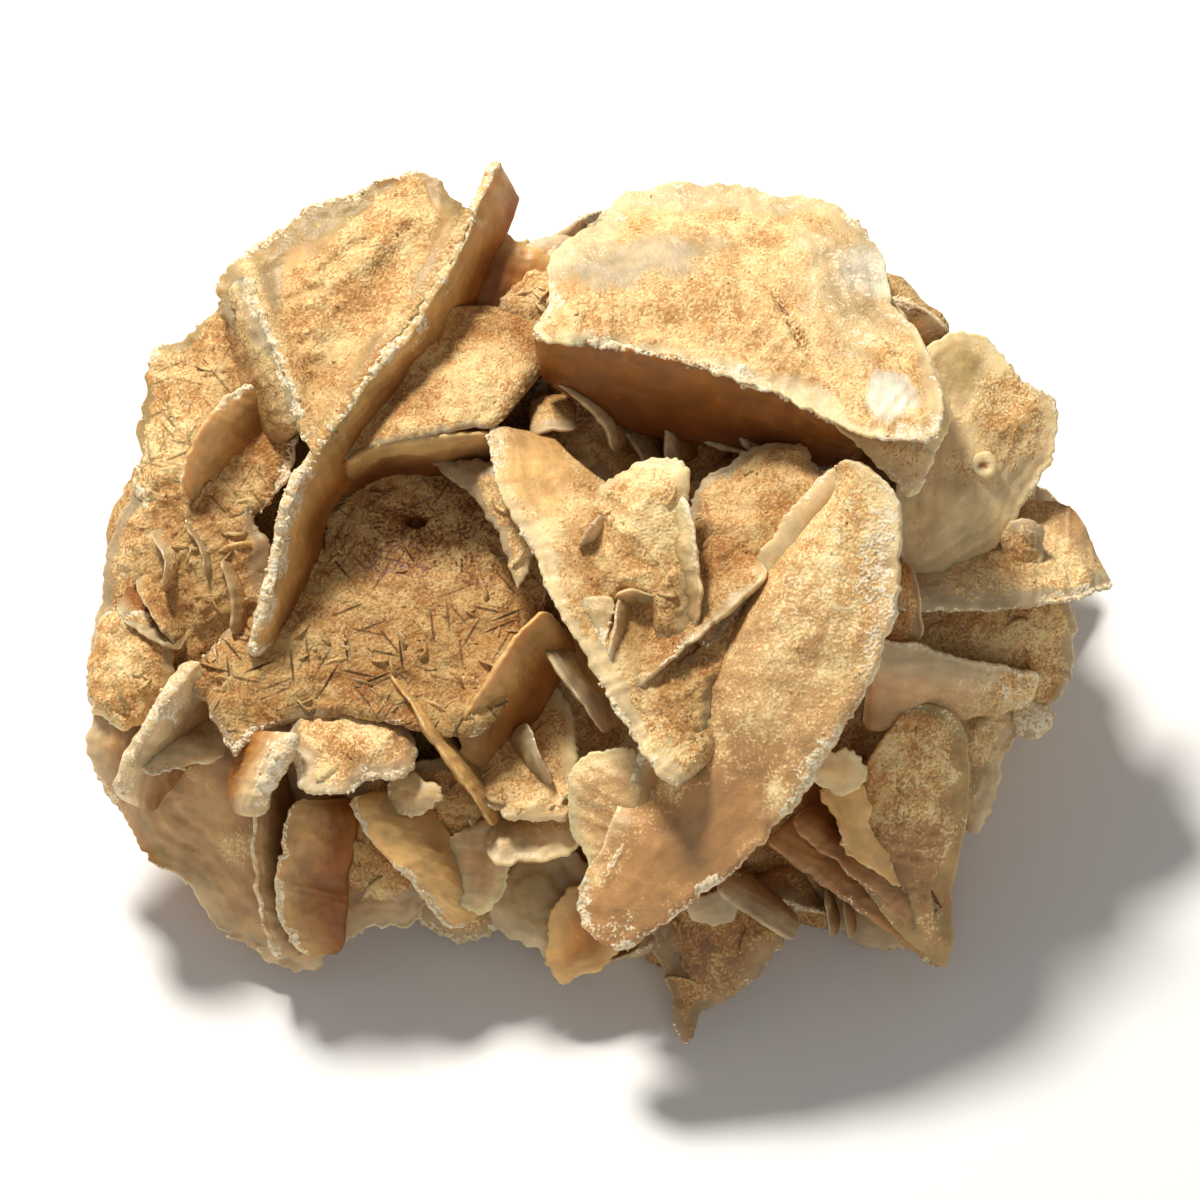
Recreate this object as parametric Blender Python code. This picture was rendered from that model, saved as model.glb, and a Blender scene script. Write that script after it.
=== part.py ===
# Gypsum sand rose: one natural cluster of intergrown lens-shaped crystals.
#
# The rose is drawn as it is looked at, from the front and well above. In that view u runs to the right,
# v runs up the picture and w comes towards the eye, all in millimetres. The whole cluster is then
# tipped back by the viewing angle, so that it lies on its broken base at z = 0.
#
# Two kinds of crystal make it up:
#   a disc is a lens seen on its face, given by its outline and by how its plane leans away;
#   a fin is a blade seen near its edge, given by its free rim and by the line where it roots.

import math
import random

import bmesh
import bpy
from mathutils import Vector

VIEW_ELEVATION = math.radians(55.0)
VIEW_ORIGIN = (0.0, -4.0, 24.0)
MILLIMETRE = 0.001

RIM_THICKNESS = 1.1
FIN_ROOT_THICKNESS = 3.2
DISC_DOME = 1.2
DISC_ROOT_DEPTH = 7.0
LARGE_DISC = 11.5
MID_RING = 0.42
MID_RISE = 0.8

# The buried lumps that the blades grow from: centre and radii along (u, v, w).
LUMPS = {
    "middle": ((0.0, -1.0, -16.0), (43.0, 35.0, 22.0)),
    "under_crown": ((13.0, 26.0, -5.0), (21.0, 13.0, 13.0)),
    "under_upper_left": ((-25.0, 25.0, -4.5), (15.0, 12.0, 10.0)),
    "under_right": ((33.0, 8.0, -8.0), (12.0, 14.0, 11.0)),
    "under_left": ((-37.0, 5.0, -8.0), (12.0, 18.0, 12.0)),
    "under_front": ((4.0, -24.0, -5.0), (32.0, 9.0, 9.0)),
    "under_bottom": ((8.0, -31.0, -1.5), (13.0, 6.5, 6.5)),
}

# Blades on the hidden side, in rows counted round the back from the right. Each row follows an oval
# shell, given in the rose's own frame, and climbs it by the angle called height.
BACK_ROWS = [
    dict(centre=(0.0, 7.0, 11.0), reach=(40.0, 29.0, 20.0),
         count=11, height=2.0, start=-14.0, end=194.0, size=13.0),
    dict(centre=(0.0, 7.0, 14.0), reach=(38.0, 29.0, 22.0),
         count=9, height=32.0, start=2.0, end=178.0, size=13.0),
    dict(centre=(13.0, 20.0, 31.0), reach=(20.0, 13.0, 12.0),
         count=6, height=12.0, start=-10.0, end=165.0, size=9.0),
    dict(centre=(-25.0, 18.0, 32.0), reach=(15.0, 11.0, 9.0),
         count=5, height=10.0, start=20.0, end=200.0, size=8.5),
]
BACK_SEED = 41
BACK_SIDES = 8
BACK_TWIST = 75.0
BACK_LEAN = 35.0
BACK_AROUND_WANDER = 5.0
BACK_HEIGHT_WANDER = 8.0
BACK_LENGTHS = (0.8, 1.15)
BACK_WIDTHS = (0.65, 0.85)
BACK_CORNER_WANDER = 0.2
BACK_BELLY = 0.2

# The oval of the front view, half widths in u and v, that the hidden side has to stay behind.
FRONT_OUTLINE = (48.5, 39.5)
FRONT_TRIES = 3

# Blocks of the build: how round the lumps are, and the block in metres that the base is cut off with.
CORE_DETAIL = 3
LUMP_DETAIL = 2
GROUND_SIZE = 0.2

SAND_GOLD = (0.72, 0.46, 0.20, 1.0)
SAND_ROUGHNESS = 0.75


# Discs: outline in (u, v), then a point of the plane, its dip from facing the eye, and the
# direction in the picture, in degrees from +u, towards which the plane sinks away.
DISCS = {
    "upper_left_disc": dict(
        outline=[(-15.1, 41.6), (-17.6, 42.7), (-21.1, 42.5), (-24.4, 41.3), (-29.4, 39.3),
                 (-34.7, 35.4), (-37.8, 32.7), (-38.3, 30.2), (-36.0, 24.0), (-31.0, 18.0),
                 (-27.0, 16.0), (-21.0, 24.5), (-16.0, 32.0), (-13.2, 38.0)],
        at=(-25.0, 30.0, 9.0), dip=18, toward=115),
    "left_upper_disc": dict(
        outline=[(-36.0, 30.0), (-40.4, 27.4), (-42.2, 25.9), (-44.9, 24.9), (-46.1, 18.4),
                 (-46.9, 12.0), (-46.0, 9.5), (-44.4, 7.2), (-40.0, 6.0), (-34.0, 8.0), (-30.0, 14.0),
                 (-31.0, 23.0)],
        at=(-40.0, 18.0, 6.0), dip=20, toward=150),
    "left_flank": dict(
        outline=[(-45.0, 12.0), (-47.2, 9.9), (-48.6, 7.4), (-50.3, 1.3), (-50.8, -3.0), (-51.4, -8.7),
                 (-50.5, -11.5), (-46.0, -12.0), (-40.0, -9.0), (-36.0, -5.0), (-33.0, 0.0),
                 (-33.0, 7.0), (-38.0, 11.0)],
        at=(-43.0, 0.0, 6.0), dip=22, toward=185),
    "left_lobe": dict(
        outline=[(-50.6, -3.5), (-51.3, -8.0), (-50.6, -11.5), (-48.6, -13.3), (-45.6, -12.6),
                 (-42.8, -9.5), (-42.0, -5.0), (-45.0, -1.0), (-49.0, -1.0)],
        at=(-46.5, -6.5, 8.5), dip=22, toward=200),
    "basin_floor": dict(
        outline=[(-41.0, -8.0), (-39.4, -10.3), (-38.4, -12.8), (-36.3, -15.6), (-34.0, -13.8),
                 (-29.7, -12.4), (-25.8, -11.9), (-21.9, -12.6), (-17.0, -14.0), (-11.0, -13.0),
                 (-7.0, -5.0), (-4.0, 5.0), (-7.0, 14.0), (-14.0, 17.0), (-22.0, 16.0), (-29.0, 12.0),
                 (-33.0, 3.0)],
        at=(-20.0, -10.0, 12.0), dip=20, toward=90),
    "lower_left_disc": dict(
        outline=[(-51.3, -16.2), (-50.1, -18.4), (-47.2, -23.0), (-45.2, -26.3), (-42.2, -28.2),
                 (-39.0, -32.6), (-36.1, -34.8), (-31.5, -37.1), (-28.5, -37.3), (-26.3, -35.1),
                 (-23.6, -33.7), (-18.5, -32.5), (-16.0, -27.0), (-18.0, -18.0), (-28.0, -11.0),
                 (-38.0, -7.0), (-47.0, -7.0), (-51.3, -12.0)],
        at=(-35.0, -22.0, 2.0), dip=12, toward=230),
    "crown": dict(
        outline=[(-7.0, 26.4), (-5.4, 29.5), (-5.0, 34.3), (-0.9, 37.5), (2.7, 40.8), (7.8, 41.8),
                 (15.7, 41.4), (22.0, 40.1), (26.0, 37.7), (28.2, 34.3), (29.5, 29.5), (32.0, 26.0),
                 (34.5, 19.5), (33.0, 16.5), (26.4, 17.0), (21.3, 19.5), (13.7, 22.5), (5.0, 25.0),
                 (-4.0, 26.0)],
        at=(13.0, 23.0, 19.0), dip=38, toward=88, dome=2.0),
    "crown_shoulder": dict(
        outline=[(22.0, 33.0), (27.0, 33.5), (29.6, 29.5), (32.2, 26.0), (35.0, 19.5), (34.0, 15.0),
                 (31.0, 10.0), (27.5, 13.0), (23.0, 17.5), (20.0, 24.0)],
        at=(28.0, 20.0, 15.0), dip=30, toward=50, dome=1.0),
    "right_disc": dict(
        outline=[(31.5, 24.5), (33.9, 26.4), (36.5, 27.0), (39.6, 25.8), (42.0, 22.5), (45.0, 21.1),
                 (46.0, 18.5), (45.4, 13.4), (42.8, 10.0), (41.0, 6.4), (37.5, 3.9), (33.9, 1.7),
                 (30.0, 2.0), (29.0, 9.0), (30.0, 18.0)],
        at=(38.0, 15.0, 5.0), dip=20, toward=30),
    "shaded_right_face": dict(
        outline=[(46.8, 0.0), (47.8, -4.0), (47.4, -7.2), (45.8, -10.0), (42.0, -12.0), (34.0, -11.0),
                 (30.0, -5.0), (31.0, 1.0), (39.0, 4.0)],
        at=(40.0, -4.0, 3.0), dip=15, toward=-30),
    "shield": dict(
        outline=[(26.8, 13.2), (29.6, 9.8), (30.0, 3.0), (28.8, -4.4), (26.4, -9.2), (22.6, -15.7),
                 (18.5, -21.8), (12.9, -27.6), (7.0, -32.2), (2.9, -35.0), (-0.8, -33.6), (-2.5, -31.0),
                 (-1.9, -27.6), (0.5, -23.5), (3.0, -16.0), (8.0, -6.0), (14.0, 3.0), (20.0, 11.0),
                 (24.0, 14.0)],
        at=(14.0, -12.0, 19.0), dip=15, toward=176, dome=3.0, rim=1.5, root=9.0),
    "wing_box": dict(
        outline=[(0.0, 11.8), (2.5, 13.3), (6.6, 14.4), (9.0, 13.0), (9.3, 8.0), (9.7, 2.6),
                 (9.7, -3.0), (7.0, -5.4), (0.8, -8.0), (-2.5, -3.0), (-3.0, 5.0)],
        at=(4.0, 3.0, 18.3), dip=15, toward=172, root=6.0),
    "wing_back": dict(
        outline=[(10.0, 12.0), (12.9, 13.7), (14.4, 15.2), (19.4, 15.7), (22.0, 14.0), (23.0, 11.0),
                 (17.7, 3.1), (14.0, -1.5), (10.5, -5.0), (7.0, 0.0), (8.0, 8.0)],
        at=(15.0, 7.0, 16.5), dip=22, toward=125, root=7.0),
    "valley_leaf": dict(
        outline=[(13.6, 3.6), (18.0, 6.0), (16.0, 0.0), (12.5, -8.0), (10.0, -15.0), (7.0, -18.4),
                 (4.0, -13.0), (2.0, -9.0), (9.0, -5.0)],
        at=(9.0, -8.0, 19.5), dip=14, toward=60, root=6.0),
    "behind_crest": dict(
        outline=[(-12.0, 39.0), (-10.6, 37.7), (-7.2, 35.9), (-4.7, 34.7), (-3.5, 30.0), (-7.0, 25.0),
                 (-14.0, 24.0), (-17.0, 30.0)],
        at=(-9.0, 32.0, 1.5), dip=15, toward=60),
    "pitted_knob": dict(
        outline=[(-9.2, 32.0), (-6.5, 33.4), (-4.3, 32.0), (-4.0, 28.0), (-8.0, 27.5), (-10.5, 29.5)],
        at=(-7.0, 30.5, 4.5), dip=10, toward=60),
    "strap_foot": dict(
        outline=[(-45.1, -11.2), (-38.6, -10.5), (-37.0, -15.0), (-39.7, -17.0), (-42.2, -17.0),
                 (-44.7, -17.7), (-46.0, -16.0)],
        at=(-41.5, -14.5, 8.5), dip=25, toward=70),
    "leaf_under_basin": dict(
        outline=[(-30.8, -13.0), (-26.0, -12.4), (-21.0, -13.0), (-18.5, -14.5), (-18.2, -16.7),
                 (-20.1, -18.0), (-23.6, -18.8), (-27.2, -19.5), (-29.6, -19.0), (-30.5, -16.5)],
        at=(-24.5, -17.0, 14.0), dip=30, toward=80, root=6.0),
    "pale_lobe": dict(
        outline=[(-21.0, -17.5), (-18.0, -16.5), (-15.4, -19.0), (-16.5, -20.9), (-19.2, -21.8),
                 (-21.5, -20.5)],
        at=(-18.5, -19.5, 11.5), dip=15, toward=200),
    "fan_floor": dict(
        outline=[(-27.5, -19.0), (-20.0, -16.0), (-12.0, -16.0), (-9.5, -22.0), (-11.5, -28.0),
                 (-16.0, -30.0), (-22.0, -30.0), (-27.0, -27.0)],
        at=(-18.0, -23.0, 7.0), dip=15, toward=-100),
    "translucent_fan": dict(
        outline=[(-15.1, -23.0), (-12.0, -21.5), (-9.8, -23.0), (-8.9, -26.9), (-9.4, -29.0),
                 (-11.4, -31.4), (-14.0, -30.5), (-15.5, -27.0)],
        at=(-12.0, -27.0, 7.5), dip=15, toward=-60),
    "round_petal": dict(
        outline=[(-13.1, -16.8), (-12.2, -19.6), (-10.5, -21.4), (-8.6, -22.1), (-5.3, -22.2),
                 (-3.0, -21.6), (-1.5, -16.0), (-3.0, -10.0), (-8.0, -7.0), (-13.0, -11.0)],
        at=(-8.0, -18.0, 9.5), dip=28, toward=85),
    "lower_lens": dict(
        outline=[(-11.2, -25.7), (-9.6, -26.6), (-7.5, -26.1), (-5.3, -26.1), (-2.3, -25.1),
                 (-1.0, -22.0), (-5.0, -19.5), (-10.0, -20.5), (-12.0, -23.0)],
        at=(-6.5, -25.0, 10.0), dip=30, toward=90),
    "pale_petal": dict(
        outline=[(4.0, -14.0), (0.5, -13.9), (-1.6, -15.1), (-3.0, -16.8), (-3.5, -19.2), (-3.3, -21.8),
                 (-2.4, -24.4), (-0.8, -26.8), (3.0, -27.0), (7.0, -20.0)],
        at=(0.0, -20.0, 13.5), dip=18, toward=200),
    "grey_foot": dict(
        outline=[(-11.6, -30.5), (-10.5, -33.3), (-8.6, -34.4), (-6.2, -35.2), (-5.0, -36.6),
                 (-1.0, -36.0), (1.0, -30.0), (-3.0, -24.0), (-9.0, -24.0), (-12.0, -27.0)],
        at=(-6.0, -31.0, 3.0), dip=15, toward=-110),
    "amber_foot": dict(
        outline=[(-5.8, -35.0), (-4.8, -37.8), (-3.7, -38.6), (-1.7, -37.8), (-0.5, -37.4),
                 (1.3, -36.2), (4.0, -32.0), (1.0, -27.0), (-4.0, -29.0)],
        at=(-2.0, -34.0, 5.5), dip=15, toward=-60),
    "bottom_triangle": dict(
        outline=[(5.0, -34.0), (5.9, -37.6), (6.8, -41.5), (8.4, -44.6), (9.6, -43.2), (10.4, -41.2),
                 (13.4, -39.8), (16.5, -37.2), (19.0, -34.6), (18.0, -31.0), (12.0, -26.0),
                 (5.0, -28.0)],
        at=(11.0, -36.0, 6.0), dip=14, toward=-60),
    "bottom_lens": dict(
        outline=[(9.0, -29.5), (12.0, -28.6), (14.0, -30.2), (13.0, -32.4), (10.0, -32.6), (8.6, -31.0)],
        at=(11.5, -30.5, 10.0), dip=20, toward=-100, root=5.0),
    "lower_right_blade": dict(
        outline=[(34.4, -37.0), (35.4, -34.6), (35.2, -29.0), (36.0, -25.0), (36.8, -19.0),
                 (36.0, -12.0), (31.0, -10.5), (26.0, -17.0), (24.0, -23.0), (27.0, -30.0),
                 (31.5, -35.0)],
        at=(31.0, -22.0, 8.0), dip=16, toward=-60),
    "olive_blade": dict(
        outline=[(21.3, -19.6), (22.8, -23.1), (24.4, -25.4), (29.8, -28.8), (28.4, -23.9),
                 (26.4, -18.2), (23.0, -17.0)],
        at=(25.0, -22.0, 11.5), dip=15, toward=210, root=6.0),
    "pale_lens": dict(
        outline=[(21.7, -18.6), (24.4, -19.7), (26.3, -18.8), (26.6, -16.5), (25.0, -14.6),
                 (22.0, -14.6), (20.0, -17.0)],
        at=(24.0, -17.0, 14.5), dip=15, toward=-40, root=6.0),
    "olive_rim": dict(
        outline=[(36.0, -22.5), (37.9, -23.6), (39.1, -22.4), (40.3, -20.0), (40.8, -16.0),
                 (42.4, -13.0), (43.0, -9.0), (39.0, -7.0), (34.0, -10.0), (33.0, -18.0)],
        at=(38.0, -15.0, 1.0), dip=15, toward=-20),
    "crumbly_edge": dict(
        outline=[(41.0, -9.5), (44.6, -9.5), (45.6, -11.6), (44.6, -13.4), (42.8, -14.2), (41.2, -13.0)],
        at=(43.0, -12.0, 2.0), dip=10, toward=-30, root=5.0),
    "fringe_plate": dict(
        outline=[(20.0, -27.0), (24.5, -34.0), (27.5, -35.2), (31.8, -35.8), (33.5, -33.0),
                 (32.0, -26.0), (25.0, -22.0)],
        at=(27.0, -31.0, -1.0), dip=8, toward=-90),
    "crown_cellar": dict(
        outline=[(-6.0, 24.0), (0.0, 24.0), (12.0, 21.0), (24.0, 17.0), (22.0, 11.0), (12.0, 9.0),
                 (2.0, 9.0), (-6.0, 13.0)],
        at=(6.0, 16.0, 4.0), dip=20, toward=90),
}

# Fins: the free rim and the root line, both in (u, v, w), running the same way.
FINS = {
    "crest": dict(
        rim=[(-10.4, 44.6, 4.0), (-12.7, 38.6, 8.0), (-16.7, 31.2, 12.0), (-22.7, 22.9, 15.5),
             (-28.1, 15.1, 17.0), (-30.7, 11.3, 17.0), (-32.2, 5.5, 16.5), (-33.4, 0.0, 15.5),
             (-34.8, -5.5, 14.0)],
        root=[(-9.4, 41.0, -1.0), (-10.8, 37.0, 1.0), (-14.4, 30.0, 4.0), (-19.0, 22.2, 6.5),
              (-25.0, 14.0, 7.5), (-28.0, 10.0, 7.5), (-29.4, 4.9, 7.0), (-31.5, -1.0, 6.5),
              (-33.2, -6.0, 6.5)], thickness=1.6),
    "short_ridge": dict(
        rim=[(-35.1, 32.7, 11.0), (-33.4, 28.5, 13.0), (-32.2, 25.5, 14.0), (-30.8, 22.4, 15.0),
             (-29.0, 17.5, 16.0)],
        root=[(-36.0, 31.0, 4.0), (-36.0, 27.5, 5.0), (-34.8, 24.0, 6.0), (-33.5, 20.0, 7.0),
              (-31.0, 15.5, 8.0)],
        thickness=1.3),
    "left_leaf": dict(
        rim=[(-33.0, 22.0, 9.0), (-36.5, 20.7, 12.0), (-38.6, 18.8, 13.0), (-40.1, 16.3, 13.0),
             (-41.3, 13.8, 12.0), (-41.7, 11.3, 10.5), (-40.6, 8.6, 8.0)],
        root=[(-32.0, 20.0, 5.0), (-34.0, 18.0, 6.0), (-35.4, 16.5, 6.0), (-36.4, 14.6, 6.0),
              (-37.6, 12.2, 5.5), (-38.7, 10.0, 5.0), (-39.6, 8.2, 4.5)]),
    "ledge_top": dict(
        rim=[(-26.9, 12.9, 12.0), (-23.6, 14.7, 14.0), (-20.1, 15.6, 15.0), (-15.4, 16.3, 15.0),
             (-10.5, 16.8, 13.5)],
        root=[(-24.0, 22.0, 6.0), (-20.5, 24.5, 5.0), (-16.0, 27.0, 4.0), (-9.5, 28.0, 3.5),
              (-4.0, 25.0, 4.0)]),
    "ledge_under": dict(
        rim=[(-26.9, 12.8, 11.8), (-23.6, 14.6, 13.8), (-20.1, 15.5, 14.8), (-15.4, 16.2, 14.8),
             (-10.5, 16.7, 13.3)],
        root=[(-26.6, 11.2, 6.0), (-23.2, 12.8, 5.0), (-20.0, 13.8, 5.0), (-15.2, 14.4, 5.0),
              (-10.3, 14.8, 5.0)]),
    "crown_under": dict(
        rim=[(-7.0, 26.4, 15.0), (-4.0, 25.9, 17.0), (0.0, 25.6, 18.5), (5.0, 24.8, 19.4),
             (9.8, 23.5, 19.7), (17.7, 21.2, 19.8), (22.5, 18.8, 19.0), (26.6, 17.0, 17.0)],
        root=[(-5.5, 25.0, 9.0), (-3.6, 23.6, 9.0), (-0.3, 21.3, 9.0), (4.0, 19.4, 9.0),
              (8.0, 18.4, 9.0), (16.0, 16.8, 9.0), (21.0, 15.8, 9.0), (26.0, 16.2, 9.0)],
        thickness=1.4, root_thickness=5.0),
    "right_spur": dict(
        rim=[(51.6, 1.0, 3.0), (47.4, -0.3, 6.0), (41.4, -0.9, 9.0), (35.5, -1.1, 11.5),
             (29.0, -1.1, 13.5)],
        root=[(48.0, 5.6, -1.0), (46.0, 8.0, -1.0), (42.0, 8.6, 0.0), (36.0, 6.0, 3.0),
              (30.0, 4.0, 5.0)]),
    "right_lens": dict(
        rim=[(44.4, -7.0, 6.0), (39.4, -6.0, 9.5), (35.5, -5.4, 12.0), (31.5, -4.2, 14.0),
             (27.0, -3.5, 15.0)],
        root=[(43.0, -8.6, 3.5), (39.6, -9.6, 5.0), (36.0, -10.4, 6.5), (31.5, -11.2, 8.0),
              (26.0, -12.0, 9.0)]),
    "wing": dict(
        rim=[(-11.3, 17.7, 13.0), (-10.9, 14.0, 15.0), (-9.9, 10.0, 16.5), (-7.7, 5.5, 18.0),
             (-4.0, -1.4, 20.0), (-0.1, -8.4, 21.5), (4.4, -16.1, 23.0), (7.2, -18.8, 23.5)],
        root=[(-8.0, 16.0, 8.0), (-4.0, 13.0, 10.0), (0.0, 10.0, 11.0), (5.0, 5.0, 12.5),
              (8.5, 0.0, 14.0), (10.5, -6.0, 15.5), (11.0, -12.0, 17.5), (10.0, -17.0, 19.5)],
        root_thickness=4.0),
    "strap": dict(
        rim=[(-40.4, -5.7, 13.0), (-42.2, -8.0, 13.8), (-44.0, -10.9, 13.8), (-46.1, -14.1, 12.5),
             (-48.0, -17.6, 10.0), (-48.2, -19.6, 7.5)],
        root=[(-37.5, -8.0, 6.0), (-38.8, -10.0, 6.0), (-40.8, -13.0, 5.0), (-42.8, -16.0, 4.0),
              (-45.0, -18.6, 3.0), (-46.2, -20.6, 2.5)], thickness=1.9),
    "fan_edge": dict(
        rim=[(-34.5, -15.1, 14.0), (-35.0, -18.0, 13.0), (-34.5, -21.9, 11.0), (-34.4, -25.5, 9.5),
             (-33.8, -30.1, 7.5), (-32.7, -36.2, 4.0)],
        root=[(-32.6, -16.0, 7.0), (-32.4, -19.0, 6.0), (-32.0, -23.0, 4.0), (-31.5, -27.0, 3.0),
              (-31.2, -31.0, 2.0), (-31.0, -35.5, 0.5)]),
    "spear": dict(
        rim=[(-29.2, -13.2, 17.0), (-31.5, -16.5, 17.0), (-33.4, -20.0, 15.5), (-33.8, -21.6, 13.5)],
        root=[(-34.6, -13.4, 11.0), (-35.0, -16.0, 10.5), (-35.0, -19.0, 10.0), (-34.4, -21.5, 9.5)],
        thickness=1.9),
    "fan_middle": dict(
        rim=[(-30.4, -19.8, 14.0), (-31.5, -22.6, 13.5), (-31.8, -25.5, 12.5), (-32.4, -28.4, 11.0),
             (-31.8, -32.0, 8.5), (-29.9, -35.5, 5.0)],
        root=[(-25.6, -19.4, 8.0), (-25.6, -22.0, 7.0), (-25.8, -25.0, 6.0), (-26.0, -28.0, 5.0),
              (-26.5, -32.0, 3.5), (-27.8, -35.3, 1.0)]),
    "fan_diagonal": dict(
        rim=[(-25.4, -19.8, 13.0), (-23.6, -22.6, 13.0), (-21.1, -25.9, 12.0), (-18.6, -28.7, 10.5),
             (-16.1, -32.0, 8.0), (-13.8, -33.3, 5.5)],
        root=[(-20.0, -18.5, 8.0), (-17.8, -21.0, 7.5), (-15.8, -24.0, 7.0), (-14.6, -27.0, 6.0),
              (-13.2, -29.6, 4.0), (-12.2, -31.0, 1.5)]),
    "narrow_leaf": dict(
        rim=[(-21.1, -6.7, 12.5), (-18.8, -10.6, 14.5), (-16.5, -14.4, 15.0), (-12.9, -19.4, 13.5),
             (-10.8, -22.8, 10.5)],
        root=[(-19.4, -7.6, 7.0), (-16.8, -10.6, 7.0), (-14.5, -14.4, 7.0), (-11.5, -18.4, 6.5),
              (-10.0, -22.0, 6.0)]),
    "slit_leaf": dict(
        rim=[(-20.6, -3.6, 9.8), (-18.4, -5.6, 12.0), (-17.4, -8.6, 12.0)],
        root=[(-19.6, -3.6, 7.0), (-17.4, -4.8, 7.0), (-16.4, -7.6, 7.0)]),
    "amber_petal": dict(
        rim=[(-5.4, -0.6, 14.0), (-8.3, -3.4, 15.0), (-11.1, -7.3, 15.0), (-13.6, -10.9, 14.0),
             (-14.4, -13.7, 12.5), (-14.0, -16.8, 10.5)],
        root=[(-3.4, -3.4, 8.0), (-4.8, -6.0, 7.5), (-6.6, -9.0, 7.0), (-8.0, -12.0, 6.5),
              (-9.0, -14.8, 6.0), (-9.6, -17.0, 6.0)]),
    "strip": dict(
        rim=[(-6.0, -4.5, 12.0), (-4.4, -7.0, 13.5), (-2.9, -8.8, 14.0), (-1.4, -10.8, 14.0),
             (-0.1, -13.5, 12.5)],
        root=[(-4.2, -3.6, 7.0), (-2.4, -6.0, 7.0), (-0.8, -8.0, 7.0), (0.6, -10.0, 7.0),
              (1.8, -12.5, 7.0)]),
    "bottom_ridge": dict(
        rim=[(11.5, -28.6, 12.0), (15.2, -31.4, 11.0), (19.1, -34.4, 8.5)],
        root=[(12.4, -27.4, 6.0), (16.2, -29.6, 5.5), (19.4, -33.0, 5.0)]),
    "lamina_outer": dict(
        rim=[(16.0, -24.2, 10.0), (19.7, -26.7, 9.0), (23.6, -29.5, 7.5), (27.6, -32.4, 5.5),
             (31.5, -35.5, 2.5), (34.4, -37.4, -0.5)],
        root=[(19.0, -21.5, 6.0), (22.0, -24.0, 5.0), (25.5, -27.0, 4.0), (29.0, -30.0, 3.0),
              (32.0, -33.0, 1.0), (34.6, -35.0, -1.5)], thickness=0.8),
    "lamina_inner": dict(
        rim=[(18.6, -22.2, 12.0), (21.6, -25.2, 11.0), (25.4, -28.2, 9.5), (29.2, -31.4, 7.5),
             (33.0, -35.2, 4.0)],
        root=[(20.6, -20.4, 8.0), (23.6, -23.4, 7.0), (27.4, -26.2, 6.0), (31.2, -29.2, 5.0),
              (34.2, -33.0, 3.0)],
        thickness=0.8),
    "gap_point": dict(
        rim=[(-2.4, 16.8, 12.0), (-5.0, 16.9, 11.5), (-7.0, 16.1, 10.5)],
        root=[(-2.4, 19.0, 5.0), (-4.8, 19.0, 5.0), (-6.8, 18.2, 5.0)]),
    "gap_blade_left": dict(
        rim=[(1.5, 17.5, 9.0), (4.0, 14.0, 11.0), (5.0, 11.0, 11.0)],
        root=[(3.5, 18.5, 4.0), (6.0, 15.5, 4.0), (7.0, 12.5, 4.0)]),
    "gap_blade_right": dict(
        rim=[(8.0, 18.0, 9.0), (10.5, 15.5, 11.0), (15.0, 14.5, 11.0)],
        root=[(9.5, 19.5, 4.0), (12.5, 17.5, 4.0), (16.5, 16.5, 4.0)]),
    "flank_lath_upper": dict(
        rim=[(-45.2, 6.8, 9.0), (-43.4, 4.0, 11.0), (-43.6, 0.6, 10.5)],
        root=[(-43.0, 7.2, 5.0), (-41.4, 4.4, 5.0), (-41.6, 1.0, 5.0)]),
    "flank_lath_lower": dict(
        rim=[(-46.6, 2.0, 9.5), (-44.6, -1.6, 11.0), (-42.8, -4.6, 11.0)],
        root=[(-44.4, 3.0, 5.0), (-42.6, -0.4, 5.0), (-40.8, -3.4, 6.0)]),
    "petal_lath": dict(
        rim=[(-7.2, -12.0, 12.5), (-6.2, -15.4, 13.0), (-4.6, -18.4, 12.0)],
        root=[(-8.4, -12.8, 8.0), (-7.4, -15.8, 8.0), (-5.8, -18.8, 8.0)]),
    "shield_neighbour": dict(
        rim=[(31.2, 3.5, 15.0), (31.6, 0.0, 15.0), (32.4, -4.0, 13.0)],
        root=[(28.6, 4.0, 9.0), (28.8, 0.0, 9.0), (29.6, -4.0, 9.0)]),
}


def to_world(point):
    """Turns a point of the view, in millimetres, into the rose's own frame, in metres."""
    u, v, w = point
    up = math.sin(VIEW_ELEVATION)
    level = math.cos(VIEW_ELEVATION)
    x = u + VIEW_ORIGIN[0]
    y = v * up - w * level + VIEW_ORIGIN[1]
    z = v * level + w * up + VIEW_ORIGIN[2]
    return Vector((x, y, z)) * MILLIMETRE


def mesh_object(name, points, faces, collection):
    """Makes a closed mesh of points given in the view, with its faces pointing out."""
    mesh = bpy.data.meshes.new(name)
    mesh.from_pydata([to_world(p) for p in points], [], faces)
    shape = bmesh.new()
    shape.from_mesh(mesh)
    bmesh.ops.recalc_face_normals(shape, faces=shape.faces)
    bmesh.ops.triangulate(shape, faces=shape.faces)
    shape.to_mesh(mesh)
    shape.free()
    obj = bpy.data.objects.new(name, mesh)
    collection.objects.link(obj)
    return obj


def ring_faces(first, second, count):
    """Joins two rings of points by a band of four-sided faces."""
    faces = []
    for i in range(count):
        j = (i + 1) % count
        faces.append((first + i, first + j, second + j, second + i))
    return faces


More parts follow.
